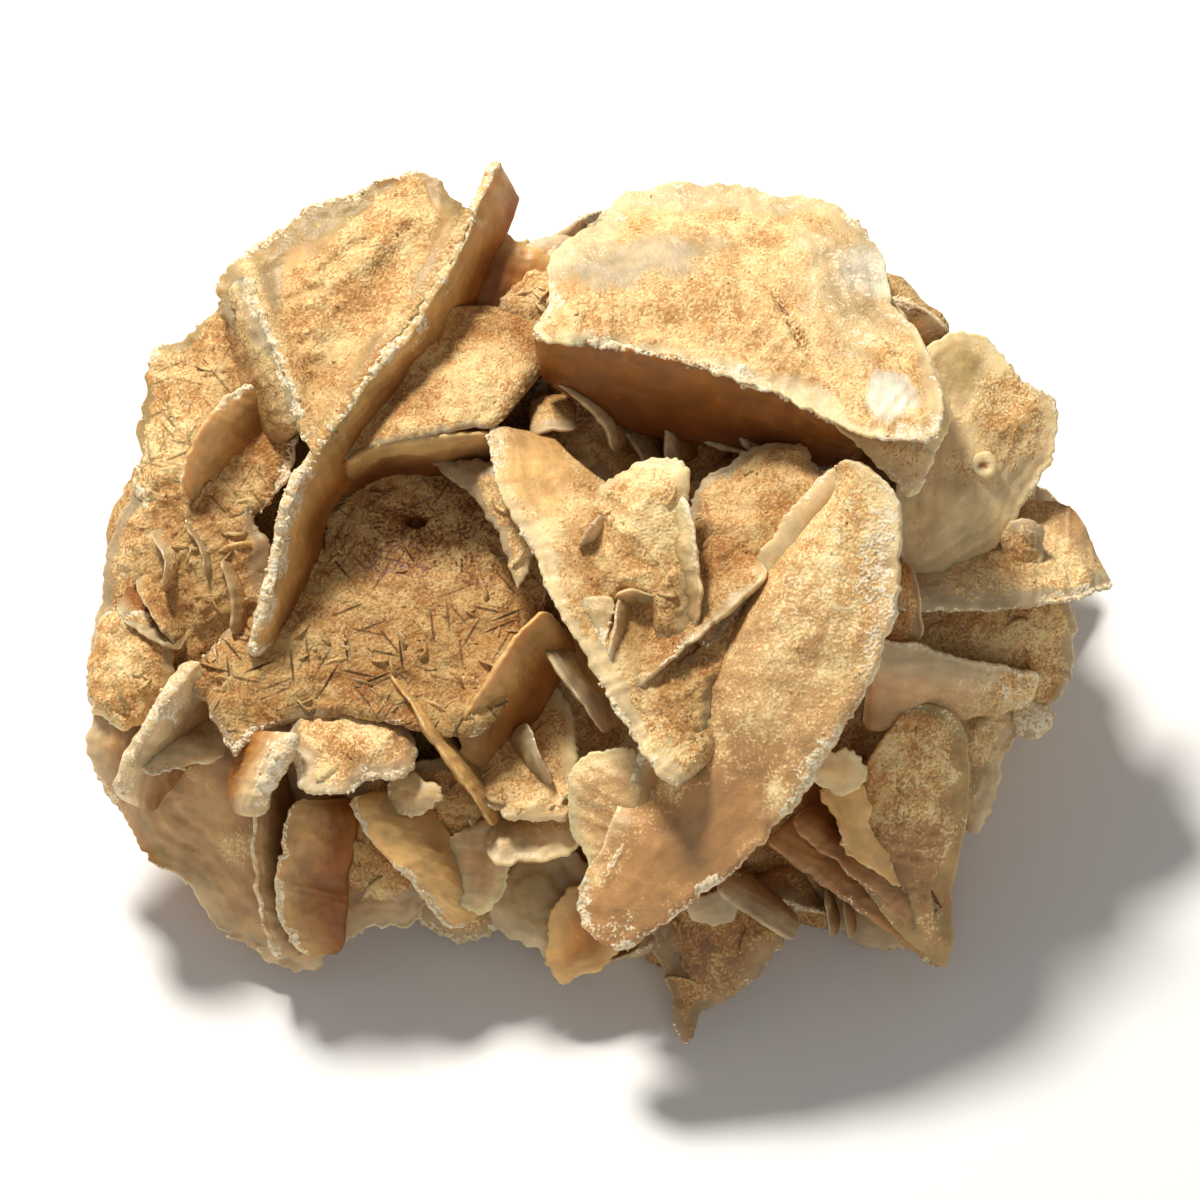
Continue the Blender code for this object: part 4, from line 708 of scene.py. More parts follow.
def patch_share(points, patch, seed):
    """1 inside an oval patch of the drawing, 0 outside it, with a ragged border."""
    turn = math.radians(patch.get("turn", 0.0))
    u, v = points[:, 0] - patch["at"][0], points[:, 1] - patch["at"][1]
    along = u * math.cos(turn) + v * math.sin(turn)
    across = v * math.cos(turn) - u * math.sin(turn)
    far = np.hypot(along / patch["reach"][0], across / patch["reach"][1])
    return 1.0 - smooth(far + 0.3 * rough(points, 2.5, 3, seed), 0.6, 1.35)


def cover(points, far, look, seed, belly=False, reach_of_tone=3.2):
    """Sand, worn amount and stone colour for points that lie far from the rim by the given distance."""
    shake = rough(points, 3.2, 3, seed)
    amount = look["belly_sand"] if belly else look["sand"]
    band = look["band"] * (0.9 + 1.1 * noise(points, 7.0, seed + 3))
    reach = smooth(far + shake * 0.9 - band, -0.5, 0.8)
    patches = 0.5 + 0.5 * rough(points, 6.0, 3, seed + 5)
    sparse = 1.0 - abs(2.0 * amount - 1.0)
    sand = reach * np.clip(amount * 1.6 - 0.6 + (patches - 0.5) * 1.1 * sparse, 0.0, 1.0)
    crumbs = 0.5 + 0.5 * rough(points, 1.3, 3, seed + 9)
    stretch = smooth(noise(points, 5.0, seed + 11) + 0.4 * noise(points, 1.7, seed + 12), -0.25, 0.45)
    width = look["width"] * (0.3 + 1.3 * stretch)
    worn = look["worn"] * (0.55 + 0.45 * stretch) * (1.0 - smooth(far / width + (crumbs - 0.5) * 1.2, 0.3, 1.3))
    # Painted light: paler at the rim, partly the thin stone's colour and partly painted highlight and glow; inwards it
    # turns to the blade's tone, which for the shaded amber is painted shade.
    tone = TONES[look["belly_tone"] if belly else look["tone"]]
    rim_tone_and_glow = TONES[look["rim_tone_and_glow"]]
    deep = smooth(far + shake * 0.6, 0.2, reach_of_tone)[:, None]
    stone = rim_tone_and_glow * (1.0 - deep) + tone * deep
    for number, patch in enumerate(() if belly else look["patches"]):
        share = patch_share(points, patch, seed + 50 + number)
        sand = sand + share * (patch.get("sand", sand) - sand)
        worn = worn + share * (patch.get("worn", worn) - worn)
        if "tone" in patch:
            stone = stone + share[:, None] * (TONES[patch["tone"]] - stone)
    stone = stone * (1.0 + 0.14 * rough(points, 5.0, 2, seed + 13))[:, None]
    return sand, worn, stone


TERRACES = (0.9, 2.1, 3.6, 5.5)
FLUTE_ANGLES = (15.0, 75.0, 130.0)
FLUTE_LENGTH = 7.0
FLUTE_WIDTH = 1.3


def flutes(points, seed):
    """Sharp low ridges in three directions, where the edges of buried blades push through a face."""
    total = np.zeros(len(points))
    for number, angle in enumerate(FLUTE_ANGLES):
        turn = math.radians(angle + 40.0 * math.sin(seed + number))
        along = points[:, 0] * math.cos(turn) + points[:, 1] * math.sin(turn)
        across = points[:, 1] * math.cos(turn) - points[:, 0] * math.sin(turn)
        stretched = np.column_stack([along / FLUTE_LENGTH, across / FLUTE_WIDTH, points[:, 2] / FLUTE_LENGTH])
        ridge = (1.0 - np.abs(noise(stretched, 1.0, seed + 60 + number))) ** 5
        mask = smooth(noise(points, 6.0, seed + 70 + number), -0.1, 0.4)
        total = np.maximum(total, ridge * mask)
    return total


def relief(points, far, sand, worn, look, seed):
    """How far the fine surface stands off the smooth one."""
    wave = 0.4 * rough(points, 7.0, 3, seed + 21) + look["flutes"] * flutes(points, seed) * (0.4 + 0.6 * sand)
    stepped = far + 0.5 * noise(points, 4.0, seed + 22) + 0.15 * noise(points, 1.2, seed + 25)
    terraces = sum(smooth(stepped, at - 0.15, at + 0.15) for at in TERRACES)
    chips = np.abs(rough(points, 2.4, 3, seed + 26))
    crust = sand * (0.03 + 0.34 * np.abs(rough(points, 2.4, 3, seed + 23)) + 0.08 * noise(points, 0.8, seed + 24))
    crumble = worn * (0.2 * rough(points, 0.8, 2, seed + 27) - 0.05)
    dents = sum(patch["sink"] * patch_share(points, patch, seed) for patch in look["patches"] if "sink" in patch)
    return wave + look["steps"] * terraces + look["coarse"] * (crust - 0.12 * chips) + crumble - dents


# %% [markdown]
# ## Where blades meet
# Blades of a rose grow through each other, and sand banks up in the corners. A face that ends at a
# neighbour's rim is therefore pulled up to that rim over the last few millimetres, instead of being left to
# stop short of it in a gap.

# %% Pulling a face to a line


def pulled(place, sand, worn, pulls):
    """Moves points near each line to its depth w. The covering there is sand."""
    for line, reach, drop in pulls:
        line = np.array(FINS[line]["rim"] if isinstance(line, str) else line, float)
        line = on_curve(line, even_places(line, 0.4))
        away, which = nearest(place[:, :2], line[:, :2])
        share = 1.0 - smooth(away, 0.0, reach)
        place[:, 2] += share * (line[which, 2] - drop - place[:, 2])
        near = 1.0 - smooth(away, 0.0, 2.0)
        worn = worn * (1.0 - near)
        sand = np.maximum(sand, near * 0.85)
    return sand, worn


# %% [markdown]
# ## Small blades and crumbs
# A sandy face is a thicket of the next, smaller generation of lenses, half buried, and worn rims shed
# crumbs. Thousands of separate objects would be slow, so each face grows all its small blades as one array:
# a pattern lens of ten sides is turned, stretched and placed for each of them.

# %% Small blades
LEAF_SIDES = 10
LEAF_TURN = np.arange(LEAF_SIDES) * math.tau / LEAF_SIDES
LEAF_LEAN = (20.0, 65.0)


def leaf_faces():
    """Triangles of the pattern: rim to inner ring to middle, on the face and on the belly."""
    faces = []
    for ring, middle, flip in ((LEAF_SIDES, 3 * LEAF_SIDES, 1), (2 * LEAF_SIDES, 3 * LEAF_SIDES + 1, -1)):
        for i in range(LEAF_SIDES):
            j = (i + 1) % LEAF_SIDES
            for corners in ((i, j, ring + j), (i, ring + j, ring + i), (ring + i, ring + j, middle)):
                faces.append(corners[::flip])
    return np.array(faces)


LEAF_FACES = leaf_faces()


def leaves(group, roots, side, out, long, high, thick, stone, sand, worn, painted_shade, chance):
    """Small closed lenses. Each row of the arrays is one of them."""
    count = len(roots)
    wander = 1.0 + 0.22 * (chance.random((count, LEAF_SIDES)) - 0.5)
    a = np.cos(LEAF_TURN) * wander * long[:, None]
    b = np.sin(LEAF_TURN) * wander * high[:, None]
    nothing = np.zeros((count, 1))
    along = np.hstack([a, a * 0.6, a * 0.6, nothing, nothing])
    upwards = np.hstack([b, b * 0.6, b * 0.6, nothing, nothing])
    half = np.repeat(thick[:, None] * 0.5, LEAF_SIDES, axis=1)
    middle = thick[:, None] * 0.62
    through = np.hstack([half * 0.0, half, -half, middle, -middle])
    across = np.cross(side, out)
    places = (roots[:, None, :] + along[:, :, None] * side[:, None, :] + upwards[:, :, None] * out[:, None, :]
              + through[:, :, None] * across[:, None, :])
    per_leaf = 3 * LEAF_SIDES + 2
    faces = LEAF_FACES[None, :, :] + (np.arange(count) * per_leaf)[:, None, None]
    on_rim = np.arange(per_leaf) < LEAF_SIDES
    sands = np.where(on_rim[None, :], sand[:, None] * 0.45, sand[:, None])
    wear = np.where(on_rim[None, :], worn[:, None], 0.0)
    growth = np.stack([along, upwards, np.repeat(roots[:, :1], per_leaf, axis=1)], axis=2)
    # The small blades take the painted shade of their face.
    gather(group, places.reshape(-1, 3), faces.reshape(-1, 3), sands.ravel(), wear.ravel(),
           np.repeat(stone, per_leaf, axis=0), growth.reshape(-1, 3), 0.0, painted_shade)


def sprout(group, place, far, sand, stone, normal, spacing, look, seed):
    """Plants small blades in the sand of one face."""
    chance = np.random.default_rng(seed)
    weight = sand * smooth(far, 0.6, 1.8) * smooth(noise(place, 4.5, seed + 40), -0.6, 0.3)
    count = int(look["sprouts"] * len(place) * spacing ** 2)
    if count < 1 or weight.sum() <= 0.0:
        return
    chosen = chance.choice(len(place), count, p=weight / weight.sum())
    first = np.cross(normal, (0.31, 0.95, 0.12))
    first = first / np.linalg.norm(first)
    second = np.cross(normal, first)
    turn = chance.uniform(0.0, math.tau, count)[:, None]
    side = np.cos(turn) * first + np.sin(turn) * second
    lean = np.radians(chance.uniform(*LEAF_LEAN, count))[:, None]
    out = np.cos(lean) * normal + np.sin(lean) * np.cross(normal, side)
    long = look["sprout_size"] * chance.uniform(0.6, 1.0, count) ** 2 * 2.4
    high = long * chance.uniform(0.4, 0.8, count)
    thick = 0.12 + 0.08 * long
    leaves(group, place[chosen] - normal * 0.4 * high[:, None], side, out, long, high, thick, stone[chosen],
           chance.uniform(0.5, 1.0, count), chance.uniform(0.1, 0.6, count), look["painted_shade"], chance)


# %% [markdown]
# A crumb is the smallest thing here: twenty faces, knocked out of shape. White ones cling to worn rims, and
# golden ones lie on the sand.

# %% Crumbs


def crumb_pattern():
    ball = bmesh.new()
    bmesh.ops.create_icosphere(ball, subdivisions=1, radius=1.0)
    points = np.array([v.co[:] for v in ball.verts])
    faces = np.array([[v.index for v in f.verts] for f in ball.faces])
    ball.free()
    return points, faces


CRUMB_POINTS, CRUMB_FACES = crumb_pattern()


def crumbs(group, places, sizes, sand, worn, stone, painted_shade, chance):
    """Small lumps, each with its own proportions."""
    count, per_crumb = len(places), len(CRUMB_POINTS)
    stretch = chance.uniform(0.6, 1.3, (count, 1, 3))
    knocks = chance.uniform(0.75, 1.25, (count, per_crumb, 1))
    points = places[:, None, :] + CRUMB_POINTS[None, :, :] * stretch * knocks * sizes[:, None, None]
    faces = CRUMB_FACES[None, :, :] + (np.arange(count) * per_crumb)[:, None, None]
    flat = points.reshape(-1, 3)
    gather(group, flat, faces.reshape(-1, 3), sand, worn, np.repeat(stone, per_crumb, axis=0), flat, 0.0,
           painted_shade)


def shed(group, place, sand, worn, stone, spacing, look, seed):
    """White crumbs where a face is worn, golden ones where it is sandy."""
    chance = np.random.default_rng(seed + 1)
    area = spacing ** 2
    for amount, often, size, white in ((worn, 0.3, 0.2, 1.0), (sand, 0.06, 0.2, 0.0)):
        weight = smooth(amount, 0.4, 0.8)
        count = int(weight.sum() * area * often * look["crumbs"])
        if count:
            chosen = chance.choice(len(place), count, p=weight / weight.sum())
            sizes = size * chance.uniform(0.5, 1.3, count)
            # Crumbs take the painted shade of their face.
            crumbs(group, place[chosen], sizes, 1.0 - white, white, stone[chosen], look["painted_shade"], chance)


# %% Building a lens
def lens(group, name, outline, origin, across, upward, look, dome=1.2, root=7.0, rim=RIM_THICKNESS,
         step=STEP, to_eye=True):
    """A closed lens in the plane through origin, with its outline given along two directions of it."""
    look = {**PLAIN, **look}
    seed = sum(map(ord, name))
    across, upward = np.asarray(across), np.asarray(upward)
    normal = np.cross(across, upward)
    normal = normal / np.linalg.norm(normal)
    normal = -normal if to_eye and normal[2] < 0 else normal
    outline = np.asarray(outline, float)
    places = even_places(outline, step * 0.75, closed=True, multiple=2)
    edge = bitten(on_curve(outline, places, closed=True), seed, BITE * look["bite"])
    run = np.arange(len(edge)) * step * 0.75
    deepest = nearest(scatter(edge, step * 2.5, seed), edge)[0].max()
    sheets = []
    for side, spacing in ((1.0, step), (-1.0, step * 1.9)):
        flat, triangles, number = triangulate(edge, scatter(edge, spacing, seed))
        far, which = nearest(flat, edge)
        far[number_on_edge(number, len(edge))] = 0.0
        solid = origin + flat[:, :1] * across + flat[:, 1:] * upward
        sand, worn, stone = cover(solid, far, look, seed, belly=side < 0)
        rounding = np.sqrt(1.0 - (1.0 - np.clip(far / 0.2, 0.0, 1.0)) ** 2)
        deep = np.clip(far / deepest, 0.0, 1.0)
        if side > 0:
            swell = min(dome, 0.12 * deepest) * smooth(deep, 0.0, 1.0)
        else:
            swell = root * smooth(deep, 0.3, 1.0) + (FULL_THICKNESS - rim) * smooth(far, 0.0, 2.5)
        high = rim * 0.5 * rounding + swell
        high += relief(solid, far, sand, worn, look, seed + int(side)) * smooth(far, 0.0, 0.5) * min(1.0, deepest / 4.0)
        place = solid + normal * (side * high)[:, None]
        if side > 0:
            sand, worn = pulled(place, sand, worn, look["climb"])
            sprout(group, place, far, sand, stone, normal, spacing, look, seed)
            shed(group, place, sand, worn, stone, spacing, look, seed)
        growth = np.column_stack([run[which], far, np.full(len(far), seed * 1.3)])
        sheets.append((place, triangles, number, sand, worn, stone, growth))
    close_sheets(group, sheets, len(edge), look)


def number_on_edge(number, count):
    return (number >= 0) & (number < count)


def close_sheets(group, sheets, count, look):
    """Joins the face and the belly along the rim that they share, and gathers the closed shape."""
    points, triangles, sand, worn, stone, growth = [], [], [], [], [], []
    start = 0
    rim_index = np.full(count, -1)
    for side, sheet in enumerate(sheets):
        place, faces, number, sheet_sand, sheet_worn, sheet_stone, sheet_growth = sheet
        target = np.full(len(place), -1)
        keep = np.ones(len(place), bool)
        if side == 0:
            for index in np.flatnonzero(number_on_edge(number, count)):
                rim_index[number[index]] = index
        else:
            for index in np.flatnonzero(number_on_edge(number, count)):
                target[index] = rim_index[number[index]]
                keep[index] = target[index] < 0
        target[keep] = start + np.arange(keep.sum())
        start += keep.sum()
        faces = target[faces]
        triangles.append(faces if side == 0 else faces[:, ::-1])
        points.append(place[keep])
        sand.append(sheet_sand[keep])
        worn.append(sheet_worn[keep])
        stone.append(sheet_stone[keep])
        growth.append(sheet_growth[keep])
    sand = np.concatenate(sand)
    slits = look.get("slits", 0.0) * sand
    # The lens takes its look's painted shade.
    gather(group, np.vstack(points), np.vstack(triangles), sand, np.concatenate(worn), np.vstack(stone),
           np.vstack(growth), slits, look["painted_shade"])


def disc(group, name, outline, at, dip, toward, look, **sizes):
    """A lens of the front, whose plane leans away by dip towards a direction of the drawing."""
    fall = math.tan(math.radians(dip))
    lean_u = fall * math.cos(math.radians(toward))
    lean_v = fall * math.sin(math.radians(toward))
    origin = np.array([0.0, 0.0, at[2] + lean_u * at[0] + lean_v * at[1]])
    lens(group, name, outline, origin, (1.0, 0.0, -lean_u), (0.0, 1.0, -lean_v), look, **sizes)


# %% [markdown]
# ## A blade seen near its edge
# Other blades stand on edge: what shows is their free rim and the face below it. They are given by that
# rim and by the line where they root. A grid from rim to root fits them better than a filled outline,
# because its rows run with the growth lines.

# %% Building a fin
FIN_THICKNESS = 1.1
FIN_ROOT_THICKNESS = 3.2


def fin(group, name, rim, root, look, thickness=FIN_THICKNESS, root_thickness=FIN_ROOT_THICKNESS, step=STEP):
    """A closed blade between its free rim and its root line."""
    look = {**PLAIN, **look}
    thickness, root_thickness = look.get("blade", (thickness, root_thickness))
    seed = sum(map(ord, name))
    rim, root = np.asarray(rim, float), np.asarray(root, float)
    places = even_places(rim, step * 0.8)
    top, foot = on_curve(rim, places), on_curve(root, places)
    columns = len(places)
    run = np.concatenate([[0.0], np.cumsum(np.linalg.norm(np.diff(top, axis=0), axis=1))])
    from_end = np.minimum(run, run[-1] - run)
    rounding = np.sqrt(1.0 - (1.0 - np.clip(from_end / 1.6, 0.0, 1.0)) ** 2)
    nibble = BITE * look["bite"] * nibbles(top, seed) + 1.3 * (1.0 - rounding)
    height = np.linalg.norm(foot - top, axis=1)
    top = top + (foot - top) * (nibble / height)[:, None]
    height = height - nibble
    rows = max(6, int(round(height.max() / step)))
    share = (np.arange(rows + 1) / rows) ** 1.3
    along = np.gradient(top, axis=0)
    normal = np.cross(along, foot - top)
    normal = normal / np.linalg.norm(normal, axis=1)[:, None]
    if normal[:, 2].mean() < 0:
        normal = -normal
    middle = top[:, None, :] + (foot - top)[:, None, :] * share[None, :, None]
    far = height[:, None] * share[None, :]
    flat = middle.reshape(-1, 3)
    wave = (0.35 * rough(flat, 7.0, 3, seed + 30)).reshape(columns, rows + 1)
    thin = thickness * look.get("blunt", 0.45)
    grid = (columns, rows + 1)
    pieces = []
    for side in (1.0, -1.0):
        # A fin's colour runs from rim to root over most of its height: paler at the rim as painted highlight and glow,
        # darker at the root as painted shade where its tone is the shaded amber.
        sand, worn, stone = cover(flat, far.ravel(), look, seed, side < 0, 0.8 * height.mean())
        bend = np.sqrt(1.0 - (1.0 - np.clip(far / 0.3, 0.0, 1.0)) ** 2)
        half = bend * thin / 2.0 + (thickness - thin) / 2.0 * smooth(far, 0.0, 2.2)
        half += (root_thickness - thickness) / 2.0 * share[None, :]
        off = relief(flat, far.ravel(), sand, worn, look, seed + int(side)).reshape(grid)
        off = half + off * 0.7 * smooth(far, 0.0, 0.5)
        off = off * (0.3 + 0.7 * rounding)[:, None]
        place = middle + normal[:, None, :] * (side * off + wave)[:, :, None]
        if side > 0:
            flat_place = place.reshape(-1, 3)
            sand, worn = pulled(flat_place, sand, worn, look["climb"])
            place = flat_place.reshape(place.shape)
        facing = side * normal.mean(axis=0)
        facing = facing / np.linalg.norm(facing)
        sprout(group, place.reshape(-1, 3), far.ravel(), sand, stone, facing, step, look, seed + int(side))
        shed(group, place.reshape(-1, 3), sand, worn, stone, step, look, seed + 2 + int(side))
        growth = np.stack([np.broadcast_to(run[:, None], far.shape), far, np.full(far.shape, seed * 1.3)], axis=2)
        # Painted shade: the fin darkens towards its root, where its neighbours shade it.
        painted_shade = look["painted_shade"] + 0.6 * smooth(np.broadcast_to(share[None, :], far.shape), 0.45, 1.0)
        pieces.append((place, sand.reshape(grid), worn.reshape(grid), stone.reshape(*grid, 3), growth, painted_shade))
    close_fin(group, pieces, columns, rows + 1)


def close_fin(group, pieces, columns, rows):
    """Wraps the two faces of a fin into one closed skin. They share the free rim."""
    number = np.arange(columns * rows).reshape(columns, rows)
    back = columns * rows + np.arange(columns * (rows - 1)).reshape(columns, rows - 1)
    back = np.hstack([number[:, :1], back])
    loop = np.hstack([number, back[:, :0:-1]])
    after = np.roll(loop, -1, axis=1)
    a, b, c, d = loop[:-1], loop[1:], after[1:], after[:-1]
    faces = [np.stack([a, d, c], axis=-1).reshape(-1, 3), np.stack([a, c, b], axis=-1).reshape(-1, 3)]
    for end, turned in ((0, 1), (columns - 1, -1)):
        strip = [(number[end, 0], number[end, 1], back[end, 1])]
        for k in range(1, rows - 1):
            strip.append((number[end, k], number[end, k + 1], back[end, k + 1]))
            strip.append((number[end, k], back[end, k + 1], back[end, k]))
        faces.append(np.array(strip)[:, ::turned])

    def both(k):
        face, belly = pieces[0][k], pieces[1][k]
        width = face.shape[2:]
        return np.concatenate([face.reshape(-1, *width), belly[:, 1:].reshape(-1, *width)])

    gather(group, both(0), np.vstack(faces), both(1), both(2), both(3), both(4), 0.0, both(5))

# %% [markdown]
# ## Details too small for the solid
# The photograph shows a few things that the solid leaves to this script: the broken box on the front blade,
# the sandy block and the little knob at the right, thin plates and stalks in the hollows.

# %% More discs and fins
DISCS.update({
    "sandy_block": dict(
        outline=[(40.2, 8.0), (42.2, 8.4), (44.2, 7.6), (44.4, 5.0), (44.0, 2.6), (42.0, 2.0), (40.0, 2.8)],
        at=(42.0, 5.0, 6.0), dip=12, toward=-60, root=4.0),
    "box_floor": dict(
        outline=[(-3.6, -0.2), (-1.0, 0.4), (1.4, 0.2), (1.2, -2.4), (0.4, -5.4), (-1.4, -3.2)],
        at=(-1.0, -2.0, 19.6), dip=20, toward=150, root=3.0),
    "basin_plate": dict(
        outline=[(-17.0, 13.6), (-12.0, 14.2), (-7.6, 12.0), (-6.0, 6.0), (-8.2, 1.0), (-10.0, 5.4), (-12.6, 9.6)],
        at=(-10.5, 8.0, 12.4), dip=24, toward=150, root=4.0),
    "knob": dict(
        outline=[(39.7, 13.6), (39.2, 14.6), (38.3, 15.0), (37.3, 14.5), (36.9, 13.4), (37.4, 12.4), (38.4, 12.0),
                 (39.3, 12.5)],
        at=(38.3, 13.4, 7.4), dip=8, toward=30, root=3.0, dome=0.8),
})
FINS.update({
    "box_left": dict(
        rim=[(-2.4, 5.2, 19.0), (-1.3, 6.8, 19.6), (-0.4, 8.6, 19.6)],
        root=[(-1.4, 4.8, 15.8), (-0.3, 6.4, 16.0), (0.7, 8.2, 16.2)], thickness=0.6, root_thickness=1.2),
    "box_wall": dict(
        rim=[(1.7, 0.4, 21.0), (1.3, -2.8, 21.8), (0.4, -6.0, 21.8)],
        root=[(2.8, 0.4, 16.8), (2.5, -2.8, 17.0), (1.6, -6.0, 17.4)], thickness=0.7, root_thickness=1.6),
    "box_step": dict(
        rim=[(1.4, 0.6, 21.2), (3.6, 1.0, 21.6), (6.0, 0.2, 21.4)],
        root=[(1.6, -0.6, 17.2), (3.8, -0.4, 17.4), (6.2, -1.0, 17.4)], thickness=0.6, root_thickness=1.4),
    "box_right": dict(
        rim=[(8.9, 10.5, 20.6), (9.7, 5.6, 21.4), (10.0, 0.0, 21.6), (9.4, -4.0, 20.8)],
        root=[(7.4, 10.2, 18.0), (7.9, 5.4, 18.2), (8.2, 0.2, 18.2), (7.8, -3.6, 18.0)], thickness=0.9,
        root_thickness=2.0),
    "box_foot": dict(
        rim=[(9.8, -3.6, 21.3), (7.4, -5.6, 21.2), (4.4, -7.2, 21.0), (1.0, -8.8, 20.8)],
        root=[(9.0, -2.4, 17.6), (6.6, -4.2, 17.4), (3.8, -5.8, 17.2), (0.6, -7.4, 17.0)], thickness=0.8,
        root_thickness=2.2),
    "valley_rib": dict(
        rim=[(17.0, 2.2, 20.8), (12.4, -1.6, 21.2), (7.6, -5.6, 21.6), (3.0, -9.8, 21.6)],
        root=[(15.6, 4.4, 16.6), (11.0, 0.6, 16.8), (6.2, -3.4, 17.2), (1.8, -7.8, 17.4)], thickness=0.9,
        root_thickness=3.4),
    "flank_lath_middle": dict(
        rim=[(-42.0, 8.6, 9.4), (-39.8, 5.6, 11.0), (-39.4, 2.0, 11.2)],
        root=[(-39.6, 8.4, 5.0), (-37.8, 5.2, 5.6), (-37.4, 2.2, 6.0)], thickness=0.6, root_thickness=1.8),
    "flank_lath_foot": dict(
        rim=[(-48.6, -1.2, 9.0), (-45.6, -3.8, 10.6), (-42.0, -5.4, 10.8)],
        root=[(-47.2, 1.0, 5.0), (-44.4, -1.6, 5.6), (-40.8, -3.2, 6.0)], thickness=0.6, root_thickness=1.8),
    "flank_lath_right": dict(
        rim=[(-38.2, 4.2, 11.0), (-37.0, 0.4, 12.0), (-36.8, -3.6, 11.8)],
        root=[(-36.0, 4.2, 6.4), (-34.8, 0.6, 6.6), (-34.8, -3.2, 6.8)], thickness=0.6, root_thickness=1.8),
    "stalk_left": dict(
        rim=[(22.0, -28.8, 4.6), (22.5, -31.4, 4.8), (22.8, -34.0, 3.8)],
        root=[(22.5, -28.6, 2.0), (23.0, -31.2, 1.6), (23.3, -33.6, 1.2)], thickness=0.5, root_thickness=0.9),
    "stalk_right": dict(
        rim=[(24.0, -29.6, 4.4), (24.5, -31.8, 4.4), (24.6, -33.8, 3.4)],
        root=[(24.5, -29.4, 1.8), (25.0, -31.6, 1.6), (25.1, -33.4, 1.0)], thickness=0.5, root_thickness=0.9),
    "cellar_left": dict(
        rim=[(-4.6, 21.4, 11.6), (-1.6, 19.6, 12.6), (0.6, 17.0, 12.6), (1.2, 14.6, 11.8)],
        root=[(-3.4, 22.2, 6.0), (-0.4, 20.6, 6.0), (2.0, 18.0, 6.0), (2.8, 15.2, 6.0)], thickness=0.7,
        root_thickness=1.8),
    "cellar_middle": dict(
        rim=[(5.0, 19.4, 11.4), (6.4, 16.6, 12.4), (6.6, 13.4, 12.4)],
        root=[(6.6, 20.0, 6.0), (8.2, 17.0, 6.0), (8.4, 13.8, 6.0)], thickness=0.7, root_thickness=1.6),
    "cellar_right": dict(
        rim=[(12.6, 18.0, 11.6), (14.6, 15.2, 12.6), (17.4, 13.6, 12.2)],
        root=[(14.2, 18.8, 6.0), (16.2, 16.2, 6.0), (18.6, 15.0, 6.0)], thickness=0.7, root_thickness=1.6),
    "underside_seam": dict(
        rim=[(1.9, 24.2, 18.6), (1.2, 22.6, 15.6), (0.4, 21.2, 12.0)],
        root=[(3.0, 24.0, 16.6), (2.3, 22.2, 13.4), (1.4, 20.8, 10.4)], thickness=0.8, root_thickness=1.8),
})
print(len(DISCS), "discs and", len(FINS), "fins")
